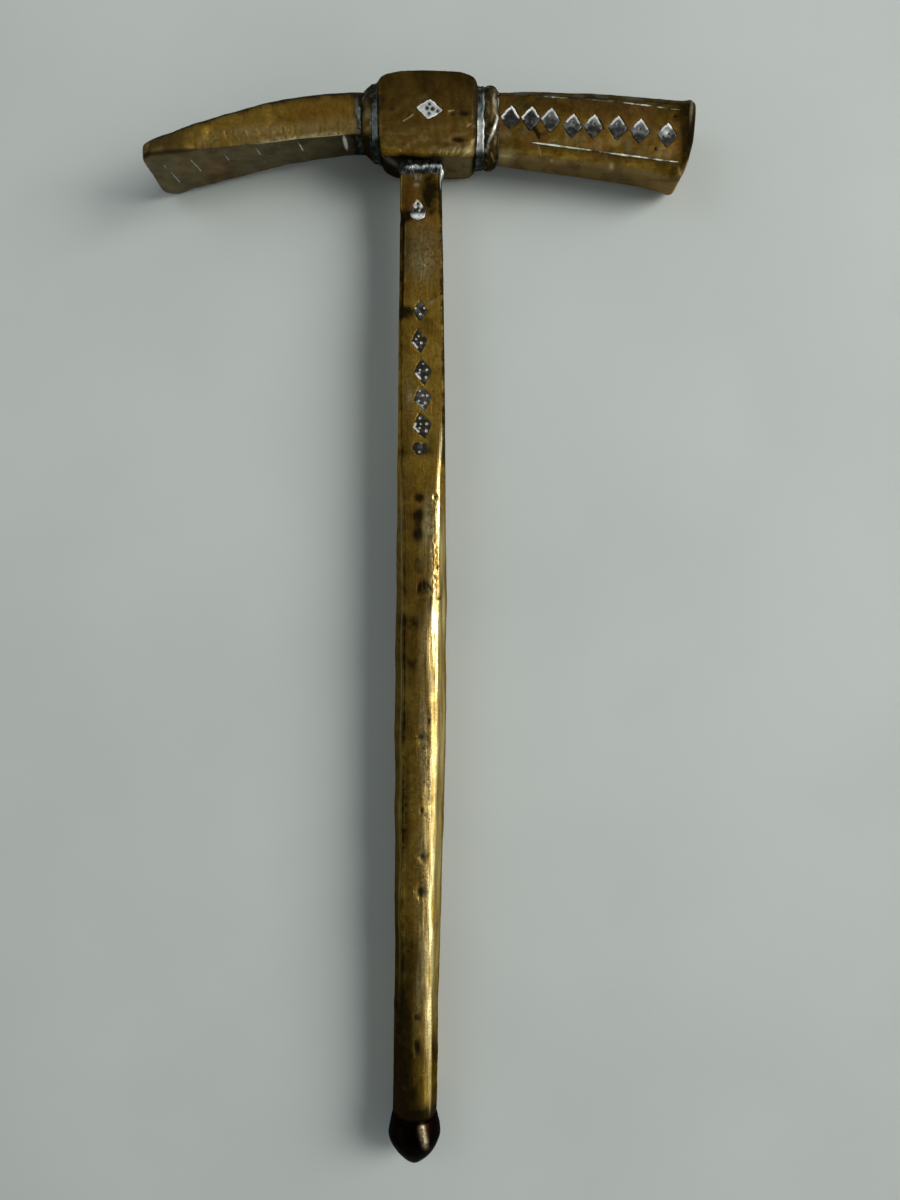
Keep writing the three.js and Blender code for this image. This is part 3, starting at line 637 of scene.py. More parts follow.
def makeAdze():
    length, rounding = adze["length"], adze["edgeRounding"]
    turn = np.radians(np.linspace(12, 90, 8))
    share = -0.03 + 1.03 * (1 - (1 - np.linspace(0, 1, 270)) ** 1.35)
    lastShare = 1 - rounding / length
    share = np.append(share[share < lastShare], lastShare + rounding * np.sin(turn) / length)
    inset = np.append(np.zeros(len(share) - len(turn)), rounding * (1 - np.cos(turn)))
    at = adzeAt(share)
    fromEdge = length * (1 - share)
    near = at["half"] - drawnIn(adze["nearTip"], fromEdge) - inset + at["shift"]
    far = -at["half"] + drawnIn(adze["farTip"], fromEdge) + inset + at["shift"]
    low, high = at["bottom"] + inset, at["top"] - inset
    corners = np.stack([[low, near], [low, far], [high, far], [high, near]]).transpose(2, 0, 1)
    top = np.minimum(adze["topRounding"], (high - low) * 0.42)
    ridge = adze["ridgeRounding"] + 1.9 * smooth(0.6, 0.95, share)
    outline = roundedOutline(corners, np.stack([ridge, ridge + 0.4, top, top], 1), (70, 26, 22, 58), 8)
    points = headGrid(at["x"], outline)
    normals = outward(points)
    sight = seen(points, normals, adze["level"])
    body = lifted(points, normals, dents(points, adze["dents"]))
    body, dark = strike(body, normals, sight, np.zeros(points.shape[:2]), adzeNicks)
    ny, nz = normals[..., 1], normals[..., 2]
    facing, underneath = smooth(0.3, 0.7, nz), smooth(0.3, 0.7, -ny)
    rise = (points[..., 1] - low[:, None]) / np.maximum(high - low, 0.5)[:, None]
    blade = np.clip((adze["root"] - points[..., 0]) / length, 0, 1)
    streaky = smooth(-0.2, 0.9, waves(points * [3.2, 0.7, 1], 3.0, 14))
    # Painted shade: the face darkens toward its top and its tip, and faces turned up, down and away are
    # darker, over its nicks, stains and streaks
    dark = dark + facing * (0.75 * smooth(0.70, 1.0, rise) + 0.5 * smooth(0.985, 1.0, blade))
    dark += facing * (0.15 * smooth(0.62, 0.95, blade) + 0.18 * streaky * (rise > 0.35))
    blotches = smooth(-0.6, 0.8, waves(points, 5.0, 15))
    dark += underneath * (0.12 + 0.18 * blotches + 0.3 * smooth(0.2, 0, blade))
    dark += 0.8 * smooth(0.3, 0.8, ny) + 0.95 * smooth(0.05, 0, blade) + 0.3 * (nz < -0.4)
    # dim: painted shade on the underside, the back and toward the face's top and tip
    dim = 0.42 * underneath + 0.35 * smooth(-0.2, -0.6, nz)
    dim += facing * (0.18 + 0.52 * smooth(0.55, 0.95, blade) + 0.30 * smooth(0.70, 1.0, rise))
    # Painted highlights: a line along the face's lower edge, a lighter lower face and a band along the ridge
    bright = 0.75 * bell(rise - 0.02, 0.05) * facing * band(blade, 0.06, 0.12, 0.40, 0.52)
    bright += 0.13 * facing * (1 - streaky) * smooth(0.55, 0.2, rise) * (blade < 0.75)
    bright += 0.12 * oval(sight, -34, -5.0, 9.0, 1.1, 3)
    warm = ovals(sight, (0.75, -20, -0.8, 5.0, 2.6, 0, 1.4), (0.55, -43.2, -14.2, 3.2, 3.4, 0, 1.3),
                 (0.5, -50.5, -12.6, 1.8, 2.2, 20))
    warm += 0.25 * facing * smooth(0.1, 0.8, waves(points, 6.0, 17))
    # grey on the underside is a painted reflection of the floor
    grey = underneath * 0.9 + 0.55 * (1 - underneath) * smooth(0.70, 1.0, blade)
    spot = oval(sight, -16.0, -7.6, 0.36, 1.4, 14, 2.0)
    silvery = 1.4 * spot + 0.10 * oval(sight, -13.6, 0.2, 0.4, 1.9, 0, 2)
    clean = 1 - np.clip(silvery, 0, 1)
    paint = brassPaint(dark * clean, dim * clean, bright + 0.8 * spot, warm, grey, silvery)
    body = np.concatenate([body, shut(body[-1], (0.35, 0.7, 0.93))])
    return gridPiece("adze_blade", body, "adze", paint)


def makeAdzeWires():
    for i, (share, start, end, shine) in enumerate(adzeWires["rows"]):
        across = np.linspace(start, end, 60)
        middle, ahead = adzeAt(share), adzeAt(share + 0.02)
        run = (across - (start + end) / 2) * middle["half"] * adzeWires["slant"]
        at = adzeAt(share + run / adze["length"])
        out = np.array([middle["bottom"] - ahead["bottom"], ahead["x"] - middle["x"], 0.0])
        out /= np.linalg.norm(out)
        path = np.stack([at["x"], at["bottom"], at["shift"] + across * middle["half"]], 1)
        path = path + out * dents(path, adze["dents"])[:, None]
        worn = np.clip(shine + 0.35 * waves(path, 3.0, 130 + i), 0.05, 1)
        makeWire(f"adze_wire_{i + 1}", path, out, adzeWires["width"], adzeWires["proud"], 30 + i, worn)


adzeVertices = makeAdze()
makeAdzeWires()
print("adze done")


# Poll. It is eight-sided: its top and bottom fall along its length, its sides part and its struck end is
# spread.

poll = {
    "root": 16.7, "length": 41.9, "rootTop": 6.75, "rootBottom": -7.1, "topDrop": 2.7, "bottomDrop": 5.1,
    "topBend": 2.2, "rootDepth": 9.2, "endDepth": 11.4, "bevel": 2.0, "flare": 0.5, "flareLength": 4.0,
    "lowFlare": 1.6, "lowFlareLength": 13.0, "lean": 0.07, "edgeRounding": 0.5, "sideRounding": 0.5,
    "lowRounding": 1.3, "endBulge": 0.9, "endLean": 0.3,
    "cornerDraw": 3.4,  # how far the lower corner of the struck end is drawn in
    "dents": [(0.06, 7.0, 21), (0.015, 2.0, 22)],
    "level": 5.3,  # the height at which its marks were read
}
pollOut = np.array([-(poll["endDepth"] - poll["rootDepth"]) / 2 / poll["length"], 0.0, 1.0])
# Nicks: x, y, half width, half length, turn, depth, stain
pollNicks = [
    (55.4, 0.1, 0.45, 0.45, 0, 0.08, 1.0), (51.1, -7.1, 0.38, 0.38, 0, 0.08, 1.0),
    (26.0, -7.4, 0.2, 0.8, 10, 0.06, 0.0), (27.8, -9.3, 0.2, 0.8, -15, 0.06, 0.0),
    (33.5, -14.0, 0.7, 0.35, 0, 0.12, 0.8), (22.3, -12.0, 0.6, 0.35, 20, 0.1, 0.6),
    (41.5, -10.9, 0.8, 0.3, 30, 0.05, 0.0), (18.9, 2.8, 0.9, 0.7, 0, 0.08, 0.5),
    (57.4, -11.2, 0.3, 0.5, 0, 0.1, 0.4), (27.0, 5.2, 0.5, 0.3, 0, 0.05, 0.5),
    (45.0, -9.8, 0.3, 0.3, 0, 0.06, 0.6), (38.2, -8.9, 0.25, 0.25, 0, 0.06, 0.6),
]
# Each wire: where it starts and ends on the length, and its shine at places along it
pollWires = {
    "inset": 0.5, "width": 0.42, "proud": 0.08, "points": 240,
    "poll_wire_top": {"start": 0.20, "end": 0.95, "seed": 41, "shine": [
        (0, 0.1), (0.1, 0.35), (0.2, 0), (0.58, 0), (0.66, 0.6), (0.76, 0.6), (0.82, 0.1), (0.92, 0.15),
        (1, 0.45),
    ]},
    "poll_wire_bottom": {"start": 0.18, "end": 0.94, "seed": 39, "shine": [
        (0, 0.8), (0.30, 0.9), (0.40, 0.2), (0.54, 0.2), (0.60, 0.9), (0.70, 0.8), (0.80, 0.55), (1, 0.6),
    ]},
}


def pollAt(share):
    run = np.maximum(share, 0)
    fromEnd = poll["length"] * (1 - share)
    swell = poll["flare"] * np.maximum(0, 1 - fromEnd / poll["flareLength"]) ** 2
    low = poll["lowFlare"] * np.maximum(0, 1 - fromEnd / poll["lowFlareLength"]) ** 2
    return {
        "x": poll["root"] + poll["length"] * share,
        "top": poll["rootTop"] - poll["topDrop"] * run ** poll["topBend"] + swell,
        "bottom": poll["rootBottom"] - poll["bottomDrop"] * run - swell - low,
        "half": (poll["rootDepth"] + (poll["endDepth"] - poll["rootDepth"]) * run) / 2 + swell,
    }


pollRow = {"start": 2.9, "end": 5.0, "slope": -0.1}
pollOutline = {"width": 4.15, "up": 2.7, "down": 2.55, "bulge": 1.12}


# A lozenge of the poll: its share of the row's length, its rise above the middle and its tarnish
def onPoll(share, rise, tarnish, **changes):
    span = poll["length"] - pollRow["end"] - pollRow["start"]
    share = (pollRow["start"] + span * share) / poll["length"]
    at = pollAt(share)
    low = poll["rootBottom"] - poll["bottomDrop"] * share
    middle = (at["x"], (at["top"] + low) / 2 + rise, at["half"])
    place = seat(middle, math.degrees(math.atan(pollRow["slope"])), pollOut)
    return kite(seat=place, tarnish=tarnish, **pollOutline, **changes)


# Each lozenge's stains below its middle are painted shade, and its rims up to the left and right are painted
# highlights
pollLozenges = [
    onPoll(0, 0.2, 0.93, stains=[(0, 0, 1.6, 1.8, 0.4)], rims=[(135, 62, 1), (52, 50, 0.95)]),
    onPoll(
        0.131, 0.3, 0.9, dots=[(0.6, -0.8, 0.4)], stains=[(0.7, -1.1, 0.9, 1.2, 1.0)],
        rims=[(135, 60, 1), (52, 42, 0.6)],
    ),
    onPoll(
        0.257, 0.25, 0.75, dots=[(0, 0.7, 0.3), (-0.1, -1.0, 0.25)],
        stains=[(0, -0.8, 1.2, 1.1, 0.4)], rims=[(132, 55, 0.75), (48, 30, 0.4)],
    ),
    onPoll(
        0.397, -0.7, 0.64, dots=[(0.1, 0.75, 0.36), (-0.95, -0.75, 0.36)],
        stains=[(0.1, -1.5, 1.4, 1.2, 1.0), (0.9, -0.4, 0.7, 1.1, 0.5)], rims=[(118, 40, 0.9), (60, 40, 0.4)],
    ),
    onPoll(
        0.531, -0.5, 0.66, dots=[(0.15, 0.7, 0.38), (-1.1, -0.4, 0.36)],
        stains=[(0, -1.4, 1.5, 1.2, 1.0), (0.9, -0.4, 0.7, 1.0, 0.5)], rims=[(118, 40, 0.85), (60, 40, 0.5)],
    ),
    onPoll(
        0.685, -0.3, 0.72, dots=[(0.05, 0.7, 0.3)], stains=[(0.2, -1.1, 1.5, 1.2, 0.75)],
        rims=[(120, 45, 0.7), (60, 30, 0.4)],
    ),
    onPoll(
        0.828, -0.5, 0.64, dots=[(0, 0.4, 0.36)], stains=[(0, -1.6, 1.3, 1.0, 0.9)],
        rims=[(118, 40, 0.85), (55, 40, 0.35)],
    ),
    onPoll(
        1, -0.75, 0.56, dots=[(0.35, 0.35, 0.45), (-0.8, -0.5, 0.36)],
        stains=[(0.2, -1.6, 1.3, 1.0, 1.0), (1.4, -0.3, 0.6, 0.9, 0.6)], rims=[(105, 50, 0.8)],
        glows=[(-0.5, 0.5, 0.5, 0.7, 0.45)],
    ),
]


def makePoll():
    length, rounding = poll["length"], poll["edgeRounding"]
    turn = np.radians(np.linspace(15, 90, 6))
    share = np.linspace(-0.03, 1 - rounding / length, 262)
    inset = np.append(0 * share, rounding * (1 - np.cos(turn)))
    share = np.append(share, 1 - rounding * (1 - np.sin(turn)) / length)
    at = pollAt(share)
    low = at["bottom"] + np.maximum(inset, drawnIn(poll["cornerDraw"], length * (1 - share)))
    high = at["top"] - inset
    corners = eightSided(low, high, at["half"] - inset, poll["bevel"], poll["bevel"])
    radius = [poll["lowRounding"]] * 2 + [poll["sideRounding"]] * 6
    points = headGrid(at["x"], roundedOutline(corners, radius, (14, 24, 8, 32, 8, 26, 16, 104), 5))
    above = points[..., 1] - ((low + high) / 2)[:, None]
    up = above / ((high - low) / 2)[:, None]
    points[..., 0] += poll["lean"] * np.maximum(share, 0)[:, None] ** 2 * above
    swell = poll["endBulge"] * (1 - up ** 2) + poll["endLean"] * up
    points[..., 0] += swell * smooth(0.85, 1.0, share)[:, None]
    normals = outward(points)
    sight = seen(points, normals, poll["level"])
    body, groove = pockets(lifted(points, normals, dents(points, poll["dents"])), normals, pollLozenges)
    body, dark = strike(body, normals, sight, groove, pollNicks, 0.7)
    ny, nz = normals[..., 1], normals[..., 2]
    facing, underneath, topSide = smooth(0.55, 0.9, nz), smooth(0.75, 0.97, -ny), smooth(0.2, 0.7, ny)
    run = np.clip((points[..., 0] - poll["root"]) / length, 0, 1)
    fall = (at["top"][:, None] - sight[..., 1]) / (at["top"] - at["bottom"])[:, None]  # from the top down
    # Painted shade on the top, on faces turned away and toward the top of the front, over nicks, stains and a
    # darker struck end
    dark = dark + 0.7 * smooth(0.025, 0, run) + 0.35 * smooth(0.93, 1.0, run) * (facing + 0.4 * underneath)
    dark += 0.35 * topSide + 0.35 * facing * smooth(0.30, 0.05, fall) + 0.6 * smooth(0.982, 0.99, run)
    dark += ovals(sight, (0.95, 24.8, -2.9, 0.7, 1.4, 35, 1.5), (0.9, 25.6, -4.4, 0.4, 1.0, 22))
    dark += 0.25 * (nz < -0.4) + 0.25 * smooth(0.2, 1.0, waves(points, 5.0, 23))
    dark += 0.3 * facing * smooth(0.3, 0.9, waves(points * [1, 1.6, 1], 2.6, 27))
    # dim: painted shade on the top, the underside, the back and the upper front, and darker at the struck end
    dim = 0.75 * band(run, 0.92, 0.99, 0.985, 0.995) * (facing + 0.3 * underneath)
    dim += facing * (0.40 * smooth(0.55, 0.25, fall) + 0.28 + 0.25 * smooth(0.945, 0.975, run))
    dim += 0.75 * topSide + 0.22 * underneath + 0.6 * smooth(0.98, 0.99, run) + 0.35 * smooth(-0.2, -0.6, nz)
    # Painted highlights: a lighter band low on the front, and glints
    bright = 0.12 * facing * band(fall, 0.55, 0.75, 0.80, 0.9) * smooth(-0.3, 1, waves(points, 4.0, 28))
    bright += ovals(sight, (0.4, 59.0, 1.8, 0.30, 2.4, -4), (0.45, 41.6, -10.8, 0.5, 0.8),
                    (0.5, 28.6, -9.8, 0.22, 0.25), (0.35, 18.6, -8.8, 1.8, 1.4))
    bright += scratches(sight, (0.45, 56.2, -11.2, 56.7, -12.6, 0.22), (0.5, 25.5, -6.0, 26.3, -8.6, 0.12),
                        (0.35, 34.0, -5.2, 34.4, -8.0, 0.10))
    # The warm and grey on the underside are a painted reflection of the floor
    warm = 0.65 * facing * smooth(-0.5, 0.7, waves(points, 9.0, 25)) + 0.30 * underneath
    warm += 0.5 * ((run > 0.985) & (facing > 0.2))
    grey = 0.85 * underneath + 0.25 * smooth(0.4, 0.8, ny)
    grey += 0.25 * facing * smooth(0.3, 1, waves(points, 6.0, 26))
    silvery = 0.12 * smooth(0.35, 0.6, ny) * facing * smooth(0.0, 0.8, waves(points, 5.0, 29))
    paint = brassPaint(dark, dim, bright, warm, grey, silvery)
    for key, value in paint.items():  # the struck face is painted evenly
        paint[key] = np.vstack([value, np.full(value.shape[1], value[-1].mean())])
    body = np.concatenate([body, shut(body[-1], (0.15, 0.4, 0.65, 0.85))])
    return gridPiece("hammer_poll", body, "poll", paint)


def makePollWires():
    share = np.linspace(0, 1, pollWires["points"])
    for node in ("poll_wire_top", "poll_wire_bottom"):
        wire = pollWires[node]
        place = wire["start"] + (wire["end"] - wire["start"]) * share
        at = pollAt(place)
        inset = poll["bevel"] + pollWires["inset"]
        if node == "poll_wire_top":
            y = at["top"] - inset + 0.6 - 1.3 * place
        else:
            y = poll["rootBottom"] - poll["bottomDrop"] * place + inset - 0.9 * (place - 0.15)
        path = np.stack([at["x"], y, at["half"]], 1)
        path = path + pollOut * dents(path, poll["dents"])[:, None]
        shine = np.clip(along(share, wire["shine"]) + 0.2 * waves(path, 1.6, 45), 0.05, 1)
        makeWire(node, path, pollOut, pollWires["width"], pollWires["proud"], wire["seed"], shine)


pollVertices = makePoll()
makePollWires()
for number, lozenge in enumerate(pollLozenges):
    makePlate(f"poll_lozenge_{number + 1}", lozenge)
print("poll done")


# Eye block. It is a cushion: its ends draw in along ovals, wide and shallow at the top and fuller below, and
# its top and front are crowned.

blockPlate = kite(
    width=5.6, up=2.15, down=2.15, bulge=1.15, proud=0.10, tarnish=0.12,
    dots=[(-0.10, 1.05, 0.42), (-0.50, 0.15, 0.58), (0.65, 0.10, 0.62), (0.05, -0.95, 0.48),
          (1.80, -0.25, 0.46)],
    bites=[(215, 16, 0.10), (30, 12, 0.06)], rims=[(180, 180, 0.75)],
    stains=[(0.35, -0.4, 0.5, 0.4, 0.4)], glows=[(0, 0, 2.6, 2.0, 0.6)],
    seat=seat((block["offset"] + 0.5, 0.05, block["depth"] / 2 + block["frontCrown"]), -6, (0, 0, 1)),
)
# Dents and file marks: x, y, half width, half length, turn, depth, stain
blockMarks = [
    (8.2, -6.4, 1.5, 0.5, -5, 0.25, 1.0), (6.8, -0.9, 0.8, 0.42, 15, 0.2, 0.9),
    (9.3, -0.8, 0.9, 0.4, 0, 0.2, 0.9), (-2.7, -1.4, 0.9, 0.3, 30, 0.2, 0.6),
    (-6.2, 0.0, 0.9, 0.25, 5, 0.1, 0.4), (-5.9, 2.1, 0.6, 0.3, 0, 0.08, 0.4),
    (-7.0, 3.4, 0.8, 0.3, 20, 0.06, 0.3), (4.9, 0.9, 0.5, 0.3, -30, 0.08, 0.35),
    (-3.2, 0.6, 0.8, 0.4, 10, 0.06, 0.2), (6.0, -9.2, 0.2, 0.6, -30, 0.10, 0.3),
    (7.4, -8.8, 0.18, 0.7, -25, 0.10, 0.3), (8.6, -8.7, 0.18, 0.7, -25, 0.10, 0.3),
    (9.8, -9.0, 0.2, 0.8, -35, 0.12, 0.3), (4.4, -9.0, 0.2, 0.5, -30, 0.08, 0.3),
    (10.6, -2.9, 0.2, 0.7, -40, 0.08, 0.3),
]
# Bright scratches: x and y of both ends
blockScratches = [
    (5.7, -9.6, 6.1, -8.7), (7.0, -9.5, 7.6, -8.2), (8.2, -9.3, 8.8, -8.0), (9.3, -9.8, 10.6, -8.7),
    (4.2, -9.4, 4.5, -8.6), (10.2, -3.5, 11.0, -2.8), (-3.6, -2.5, -1.5, -1.1), (6.1, -0.35, 7.2, -0.1),
    (2.2, -9.4, 2.4, -9.0), (-4.4, -8.6, -4.1, -8.9),
]
blockWide = block["width"] + block["left"] + block["right"]


# How far a side has drawn in along an oval, at a distance from the end
def ovalDraw(fromEnd, rule):
    reach, fall = rule
    return fall * (1 - np.sqrt(1 - np.clip(1 - fromEnd / reach, 0, 1) ** 2))


# The block's sections, at distances from its left end
def blockGridAt(left):
    right = blockWide - left
    reach, fall = block["lip"]
    squeeze = fall * (np.clip(1 - left / reach, 0, 1) ** 2 + np.clip(1 - right / reach, 0, 1) ** 2)
    high = block["height"] / 2 - squeeze + block["crown"] * np.sin(np.pi * left / blockWide)
    high = high - ovalDraw(left, block["topLeft"]) - ovalDraw(right, block["topRight"])
    low = squeeze - block["height"] / 2
    low = low + ovalDraw(left, block["lowLeft"]) + ovalDraw(right, block["lowRight"])
    half = block["depth"] / 2 - squeeze - ovalDraw(left, block["sides"]) - ovalDraw(right, block["sides"])
    corners = np.stack([[low, half], [low, -half], [high, -half], [high, half]]).transpose(2, 0, 1)
    outline = roundedOutline(corners, block["rounding"], (44, 40, 36, 96), 14)
    return headGrid(block["offset"] - block["width"] / 2 - block["left"] + left, outline)


def makeBlock():
    def density(fromLeft):
        return 1 + 5 / (0.3 + np.minimum(fromLeft, blockWide - fromLeft))

    points = blockGridAt(spread(0.01, blockWide - 0.01, 200, density))
    normals = outward(points)
    sight = seen(points, normals, block["depth"] / 2)
    nx, ny, nz = normals[..., 0], normals[..., 1], normals[..., 2]
    x, y = sight[..., 0], sight[..., 1]
    front = smooth(0.45, 0.9, nz)
    middle = (points[..., 0] - block["offset"]) / block["width"] * 2
    crown = block["frontCrown"] * front * (1 - np.clip(middle ** 2, 0, 1)) * (1 - (points[..., 1] / 9) ** 2)
    body = lifted(points, normals, crown + dents(points, block["dents"]))
    body, groove = pockets(body, normals, [blockPlate])
    body, dark = strike(body, normals, sight, groove, blockMarks, 0.7)
    # the filed underside lies behind a lip, and a painted shadow line runs above the handle's solder
    lip = -10.1 + 0.25 * waves(points, 3.0, 56)
    below = smooth(0.25, -0.25, y - lip) * (points[..., 1] < 0) * sight[..., 2]
    body = lifted(body, normals, -0.25 * below * (ny < -0.3))
    slotShadow = bell(y + 10.6, 0.35) * band(x, -4.5, -3.0, 4.4, 5.4) * sight[..., 2]
    # edge is painted shade over the lower rim of the right end
    edge = smooth(0.08, 0.45, nx) * smooth(-8.0, -6.8, y)
    # Painted shade: the top, the ends and the underside are darker, most under the left, over stains and
    # marks
    dark = dark + 0.15 * smooth(3.0, 9.0, y) * front + 0.6 * smooth(0.2, 0.9, ny) + 0.25 * (nz < -0.4)
    dark += 0.9 * smooth(0.6, 0.9, np.abs(nx)) + 0.55 * edge + below * (smooth(-2.0, -5.0, x) + 0.45) + slotShadow
    dark += ovals(sight, (0.35, -8.4, 0, 1.0, 9.0, 0, 2), (0.35, 11.4, 1.0, 0.8, 8.0, 0, 2))
    dark += 0.3 * smooth(0.2, 1.0, waves(points, 4.0, 53))
    # dim: painted shade that grows toward the top of the front
    dim = front * (0.54 + 0.38 * smooth(-4.0, 7.0, y) - 0.30 * smooth(-3.0, -9.0, y))
    dim += 0.15 * below + 0.7 * edge + 0.4 * smooth(-0.2, -0.6, nz)
    # Painted highlights: a sheen low on the front and a glint at the lower right corner, among rubbed
    # scratches
    rubAndSheen = smooth(-1.0, -8.0, y) * smooth(0.0, 1.0, waves(points * [1, 2.5, 1], 3.0, 54))
    bright = 0.14 * rubAndSheen * front * (1 - below) + 0.07 * below * smooth(0, 5, x)
    bright += ovals(sight, (0.10, 0.7, 2.7, 0.4, 1.0, -50), (0.8, 10.3, -8.5, 0.9, 0.8, 30),
                    (0.25, 7.0, -8.8, 3.5, 0.6))
    bright += scratches(sight, *((0.75, *ends, 0.11) for ends in blockScratches))
    # warm and grey on the right of the underside are a painted reflection of the floor
    warm = 0.35 * smooth(-0.2, 0.8, waves(points, 8.0, 55)) * front + 0.2 * below * smooth(3, 7, x)
    grey = 1.1 * below * smooth(-1, 4, x) + 0.15 * front
    silvery = 0.25 * below * oval(sight, -6.0, -11.5, 2.0, 0.5, -35)
    gridPiece("eye_block", body, "block", brassPaint(dark, dim, bright, warm, grey, silvery))


makeBlock()
makePlate("block_lozenge", blockPlate)
print("block done")


# Collars and their solder. Each is a closed ring round the root of an arm: its profile runs out over the
# ring and back inside the arm, and its outline is the arm's root section, grown by how far the profile
# stands out.

adzeCollar = {
    "wide": -10.5, "narrow": -13.0, "spread": 2.1, "sideSpread": 1.3, "lip": 0.16, "level": 5.5,
    "rounding": 0.9, "cutLow": (0.8, 1.4), "cutHigh": (2.4, 4.4), "sideCut": 0.6,
}
pollCollar = {
    "from": 13.5, "to": 16.8, "spread": 1.15, "level": 5.5, "rounding": 1.1, "cut": 2.0,
    # the bright line of solder down its front: a place on it, its slope and its width
    "line": (15.80, -3.5), "lineSlope": 0.315, "lineWidth": 0.19,
}


# The outline of the adze's collar, where grow is 0 at its narrow end and 1 at its wide end
def adzeCollarOutline(grow, out):
    root = adzeAt(0.0)
    grown = adzeCollar["spread"] * grow + out
    half = root["half"] + adzeCollar["sideSpread"] * grow + out
    cutLow, cutHigh = (np.interp(grow, (0, 1), adzeCollar[key]) for key in ("cutLow", "cutHigh"))
    low, high = root["bottom"] - grown, root["top"] + grown
    corners = eightSided(low, high, half, cutLow, cutHigh, adzeCollar["sideCut"] * cutHigh)
    return roundedOutline(corners, adzeCollar["rounding"], (4, 16, 4, 14, 8, 12, 8, 18), 5)


def pollCollarOutline(out):
    root, cut = pollAt(0.0), pollCollar["cut"] + out / 2
    corners = eightSided(root["bottom"] - out, root["top"] + out, root["half"] + out, cut, cut)
    return roundedOutline(corners, pollCollar["rounding"], (8, 12, 8, 18, 8, 12, 8, 24), 5)


# How far to the right of the line of solder a place stands
def pastLine(x, y):
    return x - pollCollar["line"][0] - pollCollar["lineSlope"] * (y - pollCollar["line"][1])


# A tapered band with a soft lip at each end
def makeAdzeCollar():
    face = np.linspace(0, 1, 26)
    share = np.concatenate([face, np.full(4, 1.0), np.linspace(0.9, 0.1, 5), np.zeros(3)])
    lip = adzeCollar["lip"] * np.sqrt(1 - (2 * face - 1) ** 4)
    out = np.concatenate([lip, [-0.3, -0.8, -1.6, -2.6], np.full(5, -2.9), [-2.0, -1.2, -0.4]])
    x = adzeCollar["narrow"] + (adzeCollar["wide"] - adzeCollar["narrow"]) * share
    points = headGrid(x, adzeCollarOutline(share, out))
    points = lifted(points, outward(points), 0.05 * waves(points, 3.0, 61))
    sight = seen(points, outward(points), adzeCollar["level"])
    y, taper = sight[..., 1], share[:, None]
    # dark and dim: painted shade toward the top and bottom of the band, over its tarnish and its darker ends
    dark = 0.30 + 0.8 * smooth(0.28, 0, taper) + 0.5 * smooth(0.92, 1.0, taper)
    dark = dark + 0.8 * smooth(2.0, 4.5, y) + 0.75 * smooth(-3.5, -6.0, y)
    dim = 0.62 + 0.45 * smooth(-2.5, 1.0, y) + 0.4 * smooth(-3.0, -5.0, y)
    bright = 0.15 * oval(sight, -11.6, -1.0, 0.8, 3.4) * smooth(-0.5, 1, waves(points, 2.5, 62))
    warm = 0.2 + 0.3 * oval(sight, -11.8, -4.2, 1.0, 1.2)
    # the silvery patch near the top is a painted bluish sheen
    silvery = 0.30 * oval(sight, -12.6, 4.6, 0.5, 1.6, -15)
    paint = brassPaint(dark - 0.4 * silvery, dim, bright, warm, 0.3, silvery)
    gridPiece("adze_collar", points, "collar", paint, ringed=True)


# A bead, with a line of solder that wanders down it
def makePollCollar():
    turn = np.linspace(0, 2 * np.pi, 52, endpoint=False)
    rise = np.maximum(np.sin(turn), 0) ** 0.8
    out = np.where(np.sin(turn) > 0, pollCollar["spread"] * rise, 0.8 * np.sin(turn))
    middle = (pollCollar["from"] + pollCollar["to"]) / 2
    x = middle + (pollCollar["to"] - middle) * np.cos(turn)
    points = headGrid(x, pollCollarOutline(out))
    points = lifted(points, outward(points), 0.07 * waves(points, 2.6, 63))
    sight = seen(points, outward(points), pollCollar["level"])
    x, y, high = sight[..., 0], sight[..., 1], sight * [0, 1, 0]
    edge = (1 - rise)[:, None]
    wander = 0.13 * waves(high, 2.2, 66) + 0.05 * waves(high, 0.7, 67)
    line = bell(pastLine(x, y) - wander, pollCollar["lineWidth"])
    line = line * np.clip(0.8 + 0.35 * waves(high, 1.0, 68), 0.2, 1.2)
    line = line * band(y, -7.6, -6.6, -0.6, 0.4) * sight[..., 2]
    # glints are painted highlights
    glints = ovals(sight, (0.55, 14.3, -7.7, 0.35, 0.45, 15), (0.06, 14.9, 1.0, 0.35, 0.9))
    glints += scratches(sight, (0.2, 15.7, 3.2, 16.1, 4.6, 0.12), (0.25, 15.4, -8.2, 16.0, -10.0, 0.12))
    # Painted shade toward the bead's top and bottom, over its tarnish, darkest where it meets the arms
    dark = 0.35 + 0.7 * edge ** 2 + 0.5 * smooth(2.5, 6.5, y) + 0.5 * smooth(-7.5, -10.5, y)
    dark = dark + 0.35 * smooth(0.0, 0.9, waves(points * [1.5, 1, 1], 1.8, 64))
    dark = (dark + 0.6 * bell(pastLine(x, y) + 0.55, 0.3) * (y < 0)) * (1 - np.clip(1.5 * line, 0, 1))
    bright = 0.10 * smooth(0.3, 1, waves(points * [2, 1, 1], 1.4, 65)) * (1 - edge) + glints + 0.35 * line
    dim = 0.82 * (1 - np.clip(glints + line, 0, 1))
    silvery = 0.1 * oval(sight, 16.1, 2.4, 0.5, 2.2, 10) + 1.4 * line
    paint = brassPaint(dark * (1 - np.clip(glints, 0, 1)), dim, bright, 0.15, 0.45, silvery)
    gridPiece("poll_collar", points, "collar", paint, ringed=True)


